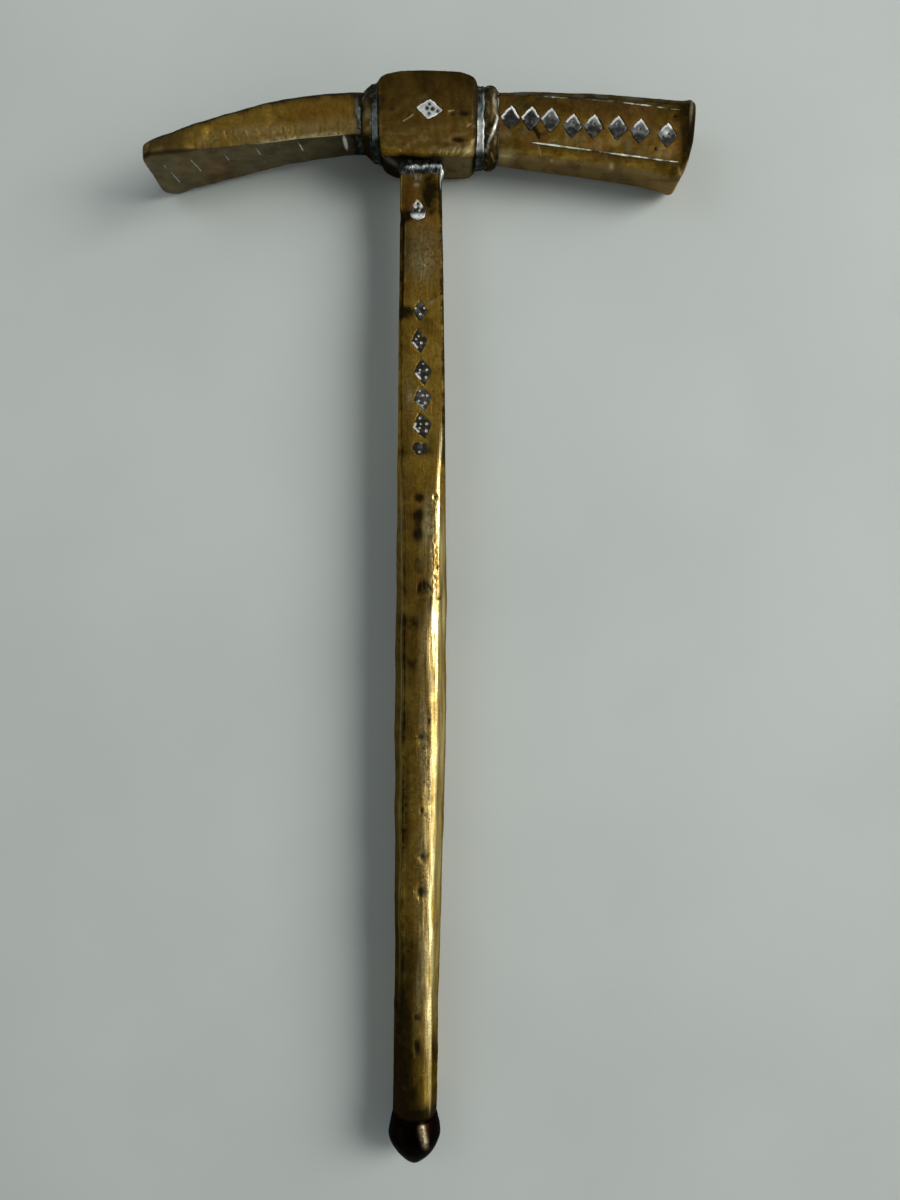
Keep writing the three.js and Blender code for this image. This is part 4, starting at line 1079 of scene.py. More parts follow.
# A fillet of solder round an arm. Its profile's steps, place on X and height over the outline, close inside
# the arm. Its shine and its darkening are functions of the place seen at the front: the shine is a painted
# highlight, and the darkening is tarnish and painted shade.
solderSteps = {
    "adze_block_solder": [(-9.2, 0.5), (-9.9, 0.12), (-10.6, 0.02), (-11.0, -0.05), (-10.9, -0.6),
                          (-10.2, -1.2), (-9.2, -1.2)],
    "adze_collar_solder": [(-12.7, 0.1), (-13.1, 0.0), (-13.4, 0.05), (-13.8, 0.08), (-14.2, 0.02),
                           (-14.2, -0.6), (-13.4, -1.0), (-12.7, -1.0)],
    "poll_block_solder": [(12.1, 1.25), (12.6, 1.10), (13.1, 1.05), (13.6, 1.10), (13.9, 0.9), (13.5, 0.2),
                          (12.9, -0.6), (12.1, -0.6)],
    "poll_collar_solder": [(16.3, 0.75), (16.6, 0.4), (16.9, 0.12), (17.15, 0.0), (17.15, -0.5), (16.6, -0.8),
                           (16.3, -0.8)],
}


def makeSolder(node, outline, seed, shine, dullAndShade):
    steps = solderSteps[node]
    closed = np.array(steps + steps[:1])
    ends = np.linspace(0, len(steps), 30, endpoint=False)
    x, out = (np.interp(ends, np.arange(len(closed)), closed[:, i]) for i in (0, 1))
    points = headGrid(x, outline(out))
    points[..., 0] += 0.10 * waves(points[:1] * [0, 1, 1], 4.0, seed)
    points = lifted(points, outward(points), 0.05 * waves(points, 1.3, seed + 1) * (out > -0.2)[:, None])
    sight = seen(points, outward(points), 5.0)
    x, y, facing = sight.transpose(2, 0, 1)
    bright = np.clip(shine(x, y) * (0.8 + 0.3 * waves(points, 1.2, seed + 2)), 0, 1) * facing
    dark = np.where(facing > 0, dullAndShade(x, y) + 0.15 * waves(points, 2.0, seed + 3), 0.75)
    gridPiece(node, points, "solder", {"dark": dark, "bright": bright}, ringed=True)


def makeSolders():
    def wide(out):
        return adzeCollarOutline(np.ones_like(out), out)

    def narrow(out):
        return adzeCollarOutline(np.zeros_like(out), out)

    # 1 between two heights, with soft ends
    def lit(y, low, high, soft=1.2):
        return band(y, low - soft, low + soft, high - soft, high + soft)

    def alongLine(x, y):
        return bell(pastLine(x, y), pollCollar["lineWidth"]) * lit(y, -7.0, -0.1, 0.5)

    # Each solder gets a painted highlight in a band of heights on its lit side, and painted shade over its
    # tarnish elsewhere
    makeSolder(
        "adze_block_solder", wide, 71, lambda x, y: 0.05 * lit(y, -5.0, 1.4),
        lambda x, y: 1.0 - 0.38 * lit(y, -5.6, 1.8),
    )
    makeSolder(
        "adze_collar_solder", narrow, 75, lambda x, y: 0.04 * lit(y, -0.6, 2.4) * (x < -13.2),
        lambda x, y: 1.0 - 0.45 * lit(y, -0.8, 2.6) * (x < -13.2),
    )
    makeSolder(
        "poll_block_solder", pollCollarOutline, 79, lambda x, y: 0.48 * lit(y, -7.4, -0.9, 0.9),
        lambda x, y: 1.0 - 0.75 * lit(y, -7.8, -0.6) - 0.22 * lit(y, -2, 4),
    )
    makeSolder(
        "poll_collar_solder", pollCollarOutline, 83, lambda x, y: 1.1 * alongLine(x, y),
        lambda x, y: 1.0 - 0.15 * lit(y, -1, 5),
    )


makeAdzeCollar()
makePollCollar()
makeSolders()
print("collars done")


# Handle: a bar beaten from a flat top into a round foot, bowed along a sine. At each station it has a width
# and a depth, its front rolls over toward each side as a power of the place and then falls in a steep facet,
# and its back is bevelled.

bar = {
    "top": -7.6, "shoulder": -9.15, "end": -219.65, "bow": 0.7, "rollParts": (0, 0.32, 0.52, 0.7, 0.86, 1),
    "width": [(0, 9.1), (0.14, 9.9), (0.25, 10.4), (0.35, 10.7), (0.46, 11.3), (0.62, 11.3), (0.76, 10.5),
              (0.88, 9.8), (1, 9.9)],
    "depth": [(0, 5.4), (0.14, 6.2), (0.25, 7.0), (0.35, 7.8), (0.46, 8.8), (0.62, 9.4), (0.76, 9.4),
              (0.88, 9.2), (1, 9.4)],
    # share of the length, how far in from the side the front begins to roll over, how far in the steep facet
    # begins, the fall at its start and the fall at the side
    "right": [(0, 0.6, 0.3, 0.06, 0.4), (0.25, 0.7, 0.35, 0.06, 0.6), (0.30, 1.5, 0.8, 0.14, 1.2),
              (0.334, 2.4, 1.3, 0.25, 2.2), (0.417, 3.6, 1.6, 0.40, 3.1), (0.458, 4.8, 1.75, 0.85, 3.8),
              (0.667, 6.0, 1.8, 1.20, 4.2), (0.82, 5.6, 1.6, 1.15, 4.2), (0.925, 4.9, 1.3, 1.10, 4.2),
              (1, 4.9, 1.2, 1.15, 4.4)],
    "left": [(0, 0.5, 0.25, 0.05, 0.4), (0.052, 0.5, 0.25, 0.05, 0.4), (0.06, 1.5, 1.2, 0.12, 1.7),
             (0.15, 1.5, 1.1, 0.12, 1.7), (0.165, 0.9, 0.7, 0.05, 1.0), (0.30, 1.5, 1.2, 0.08, 1.6),
             (0.458, 2.2, 1.9, 0.12, 3.0), (0.56, 2.4, 2.0, 0.2, 3.2), (0.667, 3.6, 1.7, 0.6, 3.6),
             (0.82, 3.8, 1.6, 0.75, 3.9), (0.925, 4.6, 1.5, 1.4, 4.3), (1, 4.9, 1.45, 1.5, 4.6)],
    "back": [(0, 0.6), (0.25, 1.0), (0.46, 2.3), (0.62, 2.6), (1, 3.3)],
    "rollBend": [(0, 1.8), (0.4, 1.8), (0.5, 2.1), (0.78, 2.5), (1, 2.7)],
    "rounding": [(0, 0.3), (0.4, 0.35), (0.5, 0.6), (0.9, 0.9), (1, 1.6)],
}
# Pits and stains: x, y, half width, half length, turn, depth, stain
barPits = [
    (3.75, -83.0, 0.4, 0.5, 40, 0.45, 1.0), (4.8, -105.3, 0.5, 0.25, 20, 0.3, 1.0),
    (4.3, -98.6, 0.25, 0.35, 0, 0.2, 0.9), (0.4, -102.9, 0.6, 1.5, -12, 0.12, 1.0),
    (1.5, -102.5, 0.42, 1.4, 10, 0.1, 1.0), (2.3, -102.4, 0.3, 1.3, 30, 0.1, 0.9),
    (1.0, -103.6, 1.5, 1.1, 0, 0.04, 0.75), (1.1, -135.6, 0.85, 1.0, 0, 0.28, 1.0),
    (0.2, -135.9, 0.8, 0.22, 0, 0.12, 0.85), (1.9, -135.4, 0.6, 0.2, 20, 0.12, 0.7),
    (1.2, -137.0, 0.22, 0.5, 0, 0.12, 0.8), (0.4, -135.2, 0.25, 0.7, 35, 0.1, 0.7),
    (1.3, -141.2, 0.15, 0.7, 30, 0.06, 0.45), (1.2, -151.6, 0.33, 0.65, 0, 0.2, 0.95),
    (1.9, -152.6, 0.16, 0.9, 40, 0.1, 0.6), (1.5, -161.8, 0.72, 1.0, 20, 0.28, 1.0),
    (0.4, -161.2, 0.22, 0.9, 40, 0.05, 0.9), (2.6, -161.5, 0.22, 0.6, -10, 0.05, 0.8),
    (1.4, -159.6, 0.12, 1.2, 0, 0.08, 0.6), (1.7, -163.0, 0.3, 0.4, 30, 0.1, 0.8),
    (1.2, -169.5, 0.95, 1.25, 0, 0.28, 1.0), (1.0, -171.1, 0.25, 0.6, 0, 0.12, 0.75),
    (-0.8, -182.4, 0.5, 0.6, 0, 0.05, 0.6), (0.7, -183.0, 0.9, 0.8, 0, 0.03, 0.5),
    (0.4, -196.8, 0.65, 0.85, 0, 0.2, 1.0), (0.9, -197.1, 0.5, 0.22, 0, 0.1, 0.85),
    (0.5, -203.3, 0.7, 1.6, 5, 0.3, 1.0), (0.3, -83.3, 1.2, 1.2, 0, 0.02, 0.85),
    (0.2, -87.2, 1.4, 1.9, 0, 0.02, 0.9), (0.2, -91.2, 1.4, 1.9, 0, 0.03, 0.95),
    (0.0, -89.3, 0.9, 3.4, 0, 0.0, 0.8), (-0.2, -97.0, 0.5, 0.7, 0, 0.05, 0.8),
    (0.2, -99.2, 0.9, 0.9, 0, 0.02, 0.7), (3.9, -113.4, 0.7, 0.10, 25, 0.08, 0.8),
    (4.1, -116.3, 0.16, 0.3, 0, 0.08, 0.8), (2.6, -97.0, 0.22, 0.6, 0, 0.08, 0.6),
    (3.5, -92.5, 0.14, 0.5, 20, 0.08, 0.6), (3.9, -95.2, 0.14, 0.5, 30, 0.08, 0.6),
    (3.6, -100.5, 0.14, 0.6, 25, 0.08, 0.6), (4.4, -108.2, 0.2, 0.4, 0, 0.08, 0.6),
    (-2.7, -110.5, 0.22, 0.4, 0, 0.06, 0.9), (-1.0, -114.2, 0.5, 1.2, 0, 0.0, 0.6),
]
# Broad stains: x, y, half width, half length, strength
barStains = [
    (-3.4, -21, 2.3, 1.4, 1), (1.7, -15, 1.5, 3.8, 0.95), (2.3, -19.6, 1.1, 1.6, 0.75),
    (-2.5, -42.6, 2.1, 1.3, 0.9), (1, -72.9, 3.7, 1.5, 0.75), (2.6, -71, 1.7, 3.0, 0.55),
    (-2.6, -72, 1.0, 3.4, 0.4), (-2.2, -88, 1.6, 8.6, 0.3), (-2.4, -99, 1.1, 9.2, 0.3),
    (-0.8, -110.5, 3.2, 2.5, 0.75), (-1.2, -119, 2.7, 11.5, 0.55), (-2, -133, 1.7, 8.0, 0.6),
    (0.5, -131.5, 2.3, 3.0, 0.5), (1.3, -107, 2.2, 3.2, 0.6), (-2.1, -150, 1.1, 16.1, 0.65),
    (-0.6, -186, 3.4, 8.0, 0.6), (-2.7, -199.5, 2.6, 9.2, 0.8), (-3.5, -211, 3.5, 10.3, 1),
    (0.3, -218, 5.1, 2.0, 0.8), (0.6, -10, 6.3, 1.8, 0.95), (0, -13.2, 2.9, 1.6, 0.55),
    (-1.4, -60.8, 1.2, 3.4, 0.25), (3, -58, 1.2, 5.8, 0.25), (3.2, -36, 1.5, 4.6, 0.3),
    (0.6, -46, 2.0, 1.6, 0.5), (1, -44.6, 2.7, 1.6, 0.3), (-2, -68, 1.3, 3.4, 0.35),
    (2.1, -15.6, 2.3, 5.2, 1), (0.5, -108.5, 1.5, 4.2, 0.45), (-2.6, -41.9, 1.7, 1.0, 0.9),
    (0.1, -98, 1.2, 1.7, 0.6),
]


def barShare(y):
    return np.clip((bar["shoulder"] - y) / (bar["shoulder"] - bar["end"]), 0, 1)


def barMiddle(y):
    return bar["bow"] * np.sin(np.pi * barShare(y))


def barFront(y):
    return along(barShare(y), bar["depth"]) / 2


def barCorners(y):
    share = barShare(y)
    wide, deep, back, bend = (along(share, bar[key]) for key in ("width", "depth", "back", "rollBend"))
    wide, deep = wide / 2, deep / 2

    # The corners of one side, from the front's flat to the back's
    def side(rows, sideways):
        roll, crease, rollDrop, sideDrop = (along(share, rows, i) for i in (1, 2, 3, 4))
        places = []
        for part in bar["rollParts"]:
            places.append([wide - roll + (roll - crease) * part, deep - rollDrop * part ** bend])
        places += [
            [wide, deep - sideDrop], [wide, back * 1.2 - deep], [wide - back * 0.45, back * 0.35 - deep],
            [wide - back * 1.3, -deep],
        ]
        return [[sideways * across, up] for across, up in places]

    corners = np.array(side(bar["right"], 1) + side(bar["left"], -1)[::-1]).transpose(2, 0, 1)
    corners[..., 0] += barMiddle(y)[:, None]
    return corners


def barDents(points):
    deep = smooth(0.25, 0.5, barShare(points[..., 1]))
    return (0.03 + 0.06 * deep) * waves(points, 11.0, 91) + (0.012 + 0.012 * deep) * waves(points, 3.0, 92)


# A plate of the handle: its place, its turn in degrees and its outline
def onBar(node, x, y, turn, width, up, down, **changes):
    slope = barFront(y - 1.0) - barFront(y)
    place = seat((x, y, barFront(y)), turn, (0, slope, 1))
    return kite(node=node, seat=place, width=width, up=up, down=down, **changes)


handlePlates = [
    onBar(
        "handle_drop", -0.55, -20.05, 2, 3.6, 2.85, 1.8, bulge=1.9, tipBulge=1.12, proud=0.10, dotDepth=0.16,
        tarnish=0.9, rims=[(90, 40, 0.5)], stains=[(0, 0.3, 1.2, 0.8, 0.5)],
        dots=[(0.05, 1.85, 0.42), (-0.1, 0.60, 0.42), (0.85, 0.35, 0.38), (0.6, 0.05, 0.28),
              (-0.75, 0.35, 0.34), (0.15, -0.75, 0.16)],
        glows=[(0, -1.0, 1.5, 0.55, 1.0), (0.05, 1.9, 0.62, 0.62, 0.6), (-0.45, 1.15, 0.35, 0.25, 0.9),
               (0.72, 1.15, 0.32, 0.3, 0.9), (0.32, 0.4, 0.2, 0.35, 0.6)],
    ),
    onBar(
        "handle_lozenge_1", 0.1, -41.9, -3, 3.1, 2.3, 2.3, tarnish=1.0, goldDots=0.8,
        dots=[(-0.95, 0.45, 0.22), (0.95, 0.6, 0.22), (0.15, -0.75, 0.26)],
    ),
    onBar(
        "handle_lozenge_2", 0.0, -48.6, 9, 3.5, 2.6, 2.6, tarnish=1.0, goldDots=0.8,
        dots=[(-0.6, 0.5, 0.22), (0.05, 1.05, 0.2), (0.4, -0.5, 0.28)], bites=[(48, 17, 0.42)],
        rims=[(214, 36, 0.95)],
    ),
    onBar(
        "handle_lozenge_3", 0.8, -55.4, 9, 3.8, 2.85, 2.9, tarnish=0.97, goldDots=0.8,
        dots=[(0.35, 1.7, 0.18), (-0.5, 0.45, 0.22), (-0.75, -0.1, 0.2), (1.0, 0.3, 0.26),
              (0.55, -1.35, 0.26)],
        rims=[(214, 34, 0.9)],
    ),
    onBar(
        "handle_lozenge_4", 0.75, -61.3, 11, 3.9, 2.75, 2.8, tarnish=0.95, goldDots=0.5,
        dots=[(-0.2, 1.75, 0.2), (0.3, 0.6, 0.25), (1.2, 0.4, 0.25), (-0.8, -0.4, 0.25), (0.5, -1.1, 0.32),
              (-0.2, -1.5, 0.2)],
        glows=[(0.3, -0.6, 0.9, 1.0, 0.04), (-0.2, 0.5, 0.5, 0.3, 0.06)], rims=[(230, 40, 0.25)],
    ),
    onBar(
        "handle_lozenge_5", 0.75, -67.3, 14, 4.1, 2.8, 2.8, tarnish=1.0, goldDots=0.85,
        dots=[(-0.1, 1.7, 0.24), (1.1, 0.15, 0.3), (-0.65, -0.4, 0.22), (0.65, -1.35, 0.28),
              (-0.2, 0.4, 0.18)],
        rims=[(172, 30, 0.75), (214, 20, 0.8)],
    ),
    onBar(
        "handle_lozenge_6", 0.25, -72.4, -8, 3.3, 1.6, 1.3, bulge=1.9, tarnish=1.0, goldDots=0.35,
        dots=[(0.1, -0.7, 0.28)], bites=[(88, 20, 0.55), (-60, 15, 0.3), (215, 14, 0.2)],
    ),
]


def makeHandle():
    def density(y):
        return (1.0 + 1.4 * ((y < -15) & (y > -75)) + 1.2 * ((y < -80) & (y > -108))
                + 0.6 * ((y < -133) & (y > -172)))

    stations = spread(bar["top"], bar["end"], 500, density)
    rounding = along(barShare(stations), bar["rounding"])[:, None]
    sidePoints = (2, 2, 2, 2, 2, 8, 6, 4, 4, 14, 4, 4, 6, 7, 2, 2, 2, 2, 2, 46)
    points = handleGrid(stations, roundedOutline(barCorners(stations), rounding, sidePoints, 2))
    normals = outward(points)
    body, groove = pockets(lifted(points, normals, barDents(points)), normals, handlePlates)
    x, y, nz = points[..., 0] - barMiddle(points[..., 1]), points[..., 1], normals[..., 2]
    share = barShare(y)
    front, visible, lower = smooth(0.1, 0.6, nz), nz > -0.1, smooth(0.30, 0.36, share)
    ragged = np.clip(1.0 + 0.12 * waves(points, 1.6, 93), 0, 1.3)
    dark, stained = groove, 0 * groove
    for *place, depth, stain in barPits:
        mark = oval(points, *place, 1.4)
        body = lifted(body, normals, -depth * mark)
        dark = np.maximum(dark, stain * mark ** 0.6 * front)
        stained = np.maximum(stained, stain * mark)
    shade = 0.9 * stained
    for *place, strength in barStains:
        mark = strength * oval(points, *place, 0, 1.4) * front
        dark = np.maximum(dark, mark * ragged)
        shade = np.maximum(shade, mark)
    notch = oval(points, -3.6, -20.7, 1.7, 1.1, 0, 3)  # beaten into the left edge beside the drop
    crack = scratches(points, (1, 1.7, -39.5, 3.2, -39.1, 0.11), (1, 3.2, -39.1, 4.9, -37.9, 0.10))
    crack = np.clip(crack, 0, 1)
    body = lifted(body, normals, -0.35 * notch - 0.15 * crack)
    dark = np.maximum(dark, np.maximum(notch, 0.95 * crack))

    # how far out a place stands past the crease where a steep facet begins
    half = along(share, bar["width"]) / 2
    right, left = x - half + along(share, bar["right"], 2), -x - half + along(share, bar["left"], 2)
    rightFacet, leftFacet = smooth(-0.1, 0.25, right), smooth(-0.1, 0.25, left)
    # the facets carry painted shade, with a painted shadow line inside the left crease and a dark upper right
    # edge; a thin painted highlight runs on the left edge
    bevel = band(share, 0.05, 0.056, 0.15, 0.165)
    dark += visible * (leftFacet * (0.40 * bevel + 0.25) + 0.15 * rightFacet * lower)
    dark += 0.55 * bell(left, 0.4) * (1 - lower) * smooth(0.05, 0.06, share)
    dark += 0.85 * smooth(-0.7, 0.0, right) * (1 - lower) * visible
    dark += 0.45 * bell(left + 0.25, 0.28) * front * lower * smooth(0.95, 0.85, share)
    dark += smooth(0.985, 0.997, share) + 0.22 * (nz < -0.3)
    # dim: painted shade on the left side, the facets, the back, the foot and below the solder, over the
    # stains' darkening
    dim = 0.62 * smooth(1.2, -4.0, x) * smooth(0.66, 0.95, share) + 0.45 * leftFacet * smooth(0.4, 0.6, share)
    dim += rightFacet * (0.3 * smooth(0.85, 0.95, share) + 0.35 * lower) + 0.45 * smooth(0.78, 0.98, share)
    dim = dim * visible + 0.35 * smooth(-0.2, -0.6, nz) + 0.42 * shade
    dim += front * (0.40 * smooth(-1.0, -3.5, x) * (1 - lower) + 0.16 * lower * smooth(0.8, -2.0, x))
    dim += front * (0.3 * oval(points, -0.5, -15.5, 4, 5.4, 0, 2) + 0.25 * band(share, 0.3, 0.4, 0.45, 0.55))
    dim += ovals(points, (0.35, -2.6, -27.0, 1.7, 7.0), (0.22, -0.5, -79.5, 3.0, 3.0),
                 (0.4, -0.8, -216.0, 2.4, 5.5, 0, 2))

    # Painted highlights: streaky painted sheen along the middle, a painted highlight along the roll beside
    # the right facet and a painted glint near its crease
    streaks = np.clip(0.8 + 0.6 * waves(points * [1, 0.06, 0.6], 0.8, 98), 0.0, 1.6)
    middling = smooth(-1.0, 1.2, x) * front * smooth(0.33, 0.37, share) * band(share, 0.34, 0.42, 0.85, 0.95)
    middling = middling * (1 - oval(points, 1.2, -104.5, 2.2, 7.0, 0, 1.5))
    firmness = 1.6 + 2.6 * smooth(0.70, 0.88, share) + 5 * smooth(0.88, 0.95, share)
    rolled = (smooth(-3.6, 0, right) * (1 - rightFacet) * front) ** firmness
    rolled = rolled * (0.36 + 0.5 * smooth(0.62, 0.8, share)) * band(share, 0.30, 0.46, 0.97, 1.0)
    glint = bell(right + 0.75, 0.4) * band(share, 0.66, 0.74, 0.92, 0.97)
    bright = streaks * (0.34 * middling + rolled + 0.5 * glint)
    # painted highlights round a pit's rim and on a crinkled patch of the roll
    rim = oval(points, 3.7, -83.0, 0.75, 0.75, 0, 4) - oval(points, 3.8, -83.1, 0.58, 0.58, 0, 4)
    bright += 0.4 * np.clip(rim, 0, 1) + 0.35 * scratch(points, 4.1, -83.6, 5.3, -85.0, 0.1)
    crinkled = smooth(-0.6, 0.6, waves(points * [1, 0.6, 1], 1.0, 88))
    bright += 0.35 * oval(points, 2.4, -137.0, 1.5, 6.5, 0, 1.5) * crinkled
    bright += ovals(points, (0.3, 2.6, -40.0, 0.8, 0.5, 20), (0.15, -1.75, -61.0, 0.6, 0.8),
                    (0.3, 0.3, -29.6, 0.5, 0.6), (0.25, 0.5, -31.0, 1.5, 3.0), (0.22, 0.6, -31.0, 2.4, 4.0),
                    (0.13, -2.2, -60.0, 1.1, 4.0, 0, 1.4), (0.40, 2.4, -88.5, 1.2, 5.5, 0, 1.4))
    # gaps are dark streaks painted to break up the painted highlight
    gaps = smooth(0.0, 0.8, waves(points * [1, 0.035, 0.6], 0.75, 90)) * smooth(-0.5, 1.5, x)
    gaps = gaps * (1 - rightFacet)
    gaps += 0.8 * bell(x - 2.0 - 0.15 * waves(points * [0, 1, 0], 14.0, 89), 0.45) * (share < 0.62)
    gaps = np.clip(gaps, 0, 1) * front * smooth(0.40, 0.47, share) * (1 - 0.6 * smooth(0.6, 0.8, share))
    dark += 0.6 * gaps
    bright *= 1 - 0.7 * gaps
    # thin painted highlights on the left edge and at the top of the right roll
    bright += 0.18 * bell(left - 0.45, 0.16) * visible * lower * smooth(0.9, 0.8, share)
    bright += 0.5 * bell(right + 0.3, 0.35) * band(share, 0.27, 0.30, 0.36, 0.42)
    sparkle = oval(points, 3.7, -100.0, 1.1, 9.0, 0, 2)
    bright += 0.30 * sparkle * smooth(0, 1, waves(points * [1, 0.5, 1], 0.9, 96))
    bright *= (1 - 0.35 * smooth(0.9, 1.0, share)) * (1 - 0.9 * stained)
    brushed = smooth(-1.5, 1.0, x) * front * (1 - rightFacet) * smooth(0.44, 0.50, share)
    relief = 0.03 * sparkle * waves(points, 0.8, 95)
    relief += 0.022 * brushed * waves(points * [1, 0.04, 0.6], 0.9, 94)
    body = lifted(body, normals, relief)

    warm = 0.35 * smooth(0.0, 0.9, waves(points, 12.0, 97))
    warm += ovals(points, (0.6, -0.5, -37.0, 3.5, 3.2, 0, 1.5), (0.5, 0.5, -18.0, 4.5, 7.0, 0, 2))
    warm = warm * front + 0.9 * oval(points, -2.7, -17.0, 1.6, 3.8, 0, 1.6)
    # grey on the side facets of the lower half is a painted reflection of the floor
    grey = (0.75 * leftFacet + 0.5 * rightFacet) * lower * (1 - 0.8 * smooth(0.75, 0.9, share))
    grey += 0.7 * oval(points, 0.5, -28.5, 4.5, 7.0, 0, 2)
    silvery = 0.30 * oval(points, -0.7, -12.2, 1.0, 0.8, -20) * smooth(-0.8, 0.8, waves(points, 0.7, 99))
    silvery = (silvery + 0.35 * oval(points, -0.8, -13.9, 0.7, 0.2, 12, 1.2)) * ragged
    silvery += 0.4 * scratch(points, 4.3, -11.5, 4.45, -14.6, 0.11)
    dark = dark * (1 - np.clip(silvery, 0, 1))
    gridPiece("handle_bar", body, "bar", brassPaint(dark, dim, bright, warm, grey, silvery))


# The solder under the block: a thin wandering ridge round the handle's top with a smeared foot and one drip.
# Its profile holds how far down each place is and how far it stands out.
handleSolder = {
    "top": -8.4, "foot": -11.45, "drip": 4.45, "dripWidth": 0.25, "dripLength": 1.7,
    "profile": [(0, 0.36), (0.2, 0.22), (0.36, 0.24), (0.46, 0.40), (0.56, 0.42), (0.66, 0.24), (0.85, 0.15),
                (1.0, 0.03), (1.05, -0.3), (0.6, -0.5), (0.2, -0.5), (0.0, -0.4)],
}


def makeHandleSolder():
    corners = barCorners(np.full(1, bar["shoulder"]))
    counts = (2, 2, 2, 2, 2, 6, 4, 3, 3, 30, 3, 3, 4, 6, 2, 2, 2, 2, 2, 110)

    def skirt(grow):
        return roundedOutline(corners + np.sign(corners) * grow, 0.5, counts, 3)[0]

    ring = skirt(0.0)
    flat = np.stack([ring[:, 0], ring[:, 1], ring[:, 0] * 0], 1)
    drip = bell(ring[:, 0] - handleSolder["drip"], handleSolder["dripWidth"]) * (ring[:, 1] > 0)
    foot = handleSolder["foot"] - 0.22 * waves(flat, 2.2, 101) - 0.12 * waves(flat, 0.8, 104)
    foot = foot - handleSolder["dripLength"] * drip
    profile = np.array(handleSolder["profile"])
    step = np.linspace(0, len(profile) - 1, 60)
    down, grow = (np.interp(step, np.arange(len(profile)), profile[:, i]) for i in (0, 1))
    rows = []
    for share, out in zip(down, grow):
        at = skirt(out)
        rows.append(np.stack([at[:, 0], handleSolder["top"] * (1 - share) + foot * share, at[:, 1]], 1))
    points = np.array(rows)
    down, outside = down[:, None], smooth(0.0, 0.1, grow)[:, None]
    relief = dents(points, [(0.07, 1.4, 102), (0.05, 0.6, 105)])
    points = lifted(points, outward(points), relief * outside)
    # A painted highlight along the ridge and down the drip, and painted shade with tarnish over the rest
    sag = down - 0.07 * waves(flat, 2.6, 106) - 0.04 * waves(flat, 0.9, 107) + 0.02 * flat[:, 0]
    ridge = bell(sag - 0.60, 0.10) * smooth(-3.4, -1.4, flat[:, 0])
    breaks = smooth(-0.9, 0.6, waves(flat, 1.1, 103))
    runs = drip * smooth(0.4, 0.5, down) * (1 - smooth(0.55, 0.8, down) * 0.6)
    shine = (0.55 * ridge * breaks + 0.8 * runs) * (points[..., 2] > 1) * outside
    blue = smooth(0.3, 0.5, down) * smooth(-0.2, 0.9, waves(points, 1.2, 109))
    blue = blue * smooth(-4.0, -2.0, points[..., 0])
    dark = np.clip(1.0 - 0.75 * ridge - 0.25 * blue, 0, 1) * (1 - np.clip(shine, 0, 1))
    gridPiece("handle_solder", points, "solder", {"dark": dark, "bright": shine}, ringed=True)


# Pommel: an acorn. Its profile flares from a groove at the seam to its widest place and narrows to a blunt
# tip.
pommel = {
    "seam": -219.65, "neck": 4.95, "groove": 0.35, "widest": -224.2, "radius": 5.85, "tip": -231.3,
    "flareBend": 1.4, "bodyBend": 1.5, "tipBend": 0.72, "points": 112,
    "inner": 3.0,  # the radius where it sits in the handle
    "dents": [(0.06, 6.0, 111), (0.015, 2.0, 112)],
}


def makePommel():
    seam, neck, widest, tip = (pommel[key] for key in ("seam", "neck", "widest", "tip"))
    flare = np.linspace(0, 1, 26)
    upperRadius = neck + (pommel["radius"] - neck) * (1 - (1 - flare) ** pommel["flareBend"])
    upperRadius = upperRadius - pommel["groove"] * bell(flare, 0.09)
    fall = np.sin(np.linspace(0, 1, 56)[1:-1] * np.pi / 2)
    lowerRadius = pommel["radius"] * (1 - fall ** pommel["bodyBend"]) ** pommel["tipBend"]
    upperY, lowerY = seam + (widest - seam) * flare, widest + (tip - widest) * fall
    y = np.concatenate([[seam + 1.0, seam + 0.02], upperY, lowerY])
    radius = np.concatenate([[pommel["inner"], neck - pommel["groove"]], upperRadius, lowerRadius])[:, None]
    angle = np.linspace(0, 2 * np.pi, pommel["points"], endpoint=False)
    points = handleGrid(y, np.dstack([radius * np.sin(angle), radius * np.cos(angle)]))
    points = lifted(points, outward(points), dents(points, pommel["dents"]))
    down = (seam - points[..., 1]) / (seam - tip)
    dark = 0.70 + 1.2 * smooth(0.10, 0.02, down) + 0.3 * smooth(-0.2, 0.8, waves(points, 5.0, 113))
    # a painted highlight down the pommel's front
    bright = 0.95 * scratch(points, 1.6, -221.0, 3.0, -226.0, 0.5) * smooth(0.6, 0.2, down)
    paint = {"dark": dark, "dim": 0.65, "bright": bright, "warm": 0.1}
    return gridPiece("pommel", points, "pommel", paint)


makeHandle()
for plate in handlePlates:
    makePlate(plate["node"], plate)
makeHandleSolder()
pommelVertices = makePommel()
print("handle done")


# Floor: a pale plane that touches the hammer at the three places on which it lies

def restingPlane(groups):
    normal = np.array([0.0, 0.0, 1.0])
    for _ in range(6):
        a, b, c = (group[np.argmin(group @ normal)] for group in groups)
        normal = np.cross(b - a, c - a)
        normal *= np.sign(normal[2]) / np.linalg.norm(normal)
    return (a + b + c) / 3, normal


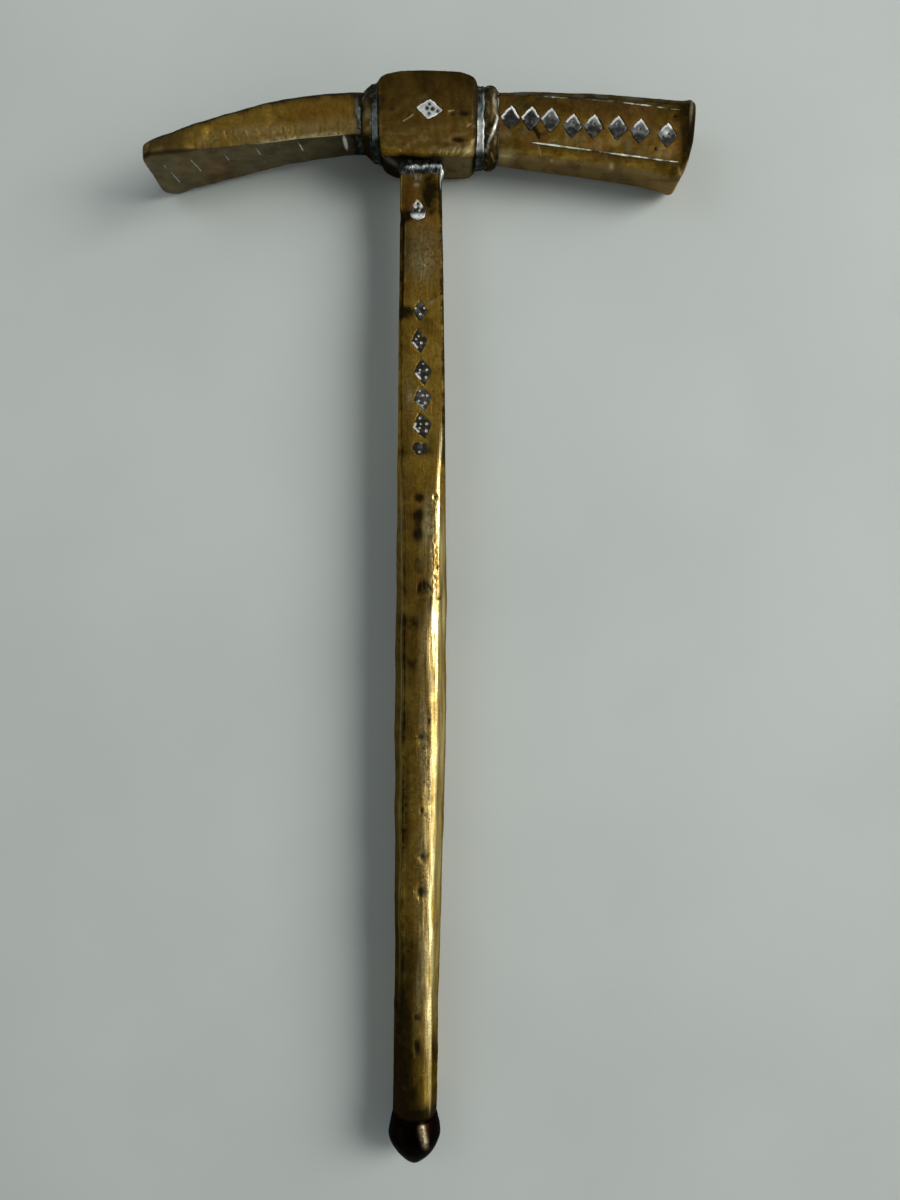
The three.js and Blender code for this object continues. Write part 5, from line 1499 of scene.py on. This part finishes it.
def makeFloor():
    point, normal = restingPlane([adzeVertices, pollVertices, pommelVertices])
    finish = Finish("pale_board")
    cloud = finish.noise(60.0, 3.0)
    fibre = finish.noise(0.8, 2.0)
    colour = finish.mix(cloud.step(0.3, 0.7), rgb(0.545, 0.59, 0.57), rgb(0.58, 0.625, 0.60))
    material = finish.shade({
        "Base Color": colour, "Roughness": 0.6, "Specular IOR Level": 0.3, "Normal": finish.bump(fibre, 0.01),
    })
    mesh = bpy.data.meshes.new("floor")
    across = np.cross([0, 1, 0], normal)
    up = np.cross(normal, across)
    reach = 1500
    corners = [point + across * a * reach + up * b * reach for a, b in ((-1, -1), (1, -1), (1, 1), (-1, 1))]
    mesh.from_pydata(toFrame(np.array(corners)).tolist(), [], [(0, 1, 2, 3)])
    mesh.materials.append(material)
    floor = bpy.data.objects.new("floor", mesh)
    bpy.context.scene.collection.objects.link(floor)


makeFloor()


# Light: two soft windows to the right, a dim one to the left and a pale room that darkens overhead. The
# room's heights are those of a direction's end on a unit ball.

room = {"colour": rgb(0.94, 1.0, 0.99), "pale": 0.34, "dark": 0.040, "paleBelow": 0.50, "darkAbove": 0.88}


def makeLight(name, place, target, size, power, colour, cone=180):
    data = bpy.data.lights.new(name, "AREA")
    data.shape, data.size, data.size_y = "RECTANGLE", size[0], size[1]
    data.energy, data.color, data.spread = power, colour, math.radians(cone)
    light = bpy.data.objects.new(name, data)
    light.location = place
    light.rotation_euler = (Vector(target) - Vector(place)).to_track_quat("-Z", "Y").to_euler()
    bpy.context.scene.collection.objects.link(light)


def makeWorld():
    world = bpy.data.worlds.new("room")
    bpy.context.scene.world = world
    world.use_nodes = True
    tree = world.node_tree
    direction = tree.nodes.new("ShaderNodeTexCoord").outputs["Generated"]
    height = tree.nodes.new("ShaderNodeSeparateXYZ")
    tree.links.new(direction, height.inputs[0])
    shade = tree.nodes.new("ShaderNodeMapRange")
    shade.interpolation_type = "SMOOTHSTEP"
    tree.links.new(height.outputs["Z"], shade.inputs[0])
    for i, value in enumerate((room["paleBelow"], room["darkAbove"], room["pale"], room["dark"]), 1):
        shade.inputs[i].default_value = value
    background = tree.nodes["Background"]
    background.inputs["Color"].default_value = room["colour"]
    tree.links.new(shade.outputs[0], background.inputs["Strength"])


makeLight("window", (1.12, 0.35, 0.812), (-0.02, 0.10, 0), (0.84, 0.84), 3.6, (1.0, 0.98, 0.95), 70)
makeLight("lowerWindow", (0.85, -0.32, 0.56), (0, -0.05, 0), (0.50, 0.45), 0.95, (1.0, 0.98, 0.95))
makeLight("side", (-0.7, 0.5, 0.8), (-0.05, 0.15, 0), (0.6, 0.6), 0.25, (0.90, 0.96, 1.0), 70)
makeWorld()
bpy.context.scene.view_settings.view_transform = "Standard"
print("stage done")
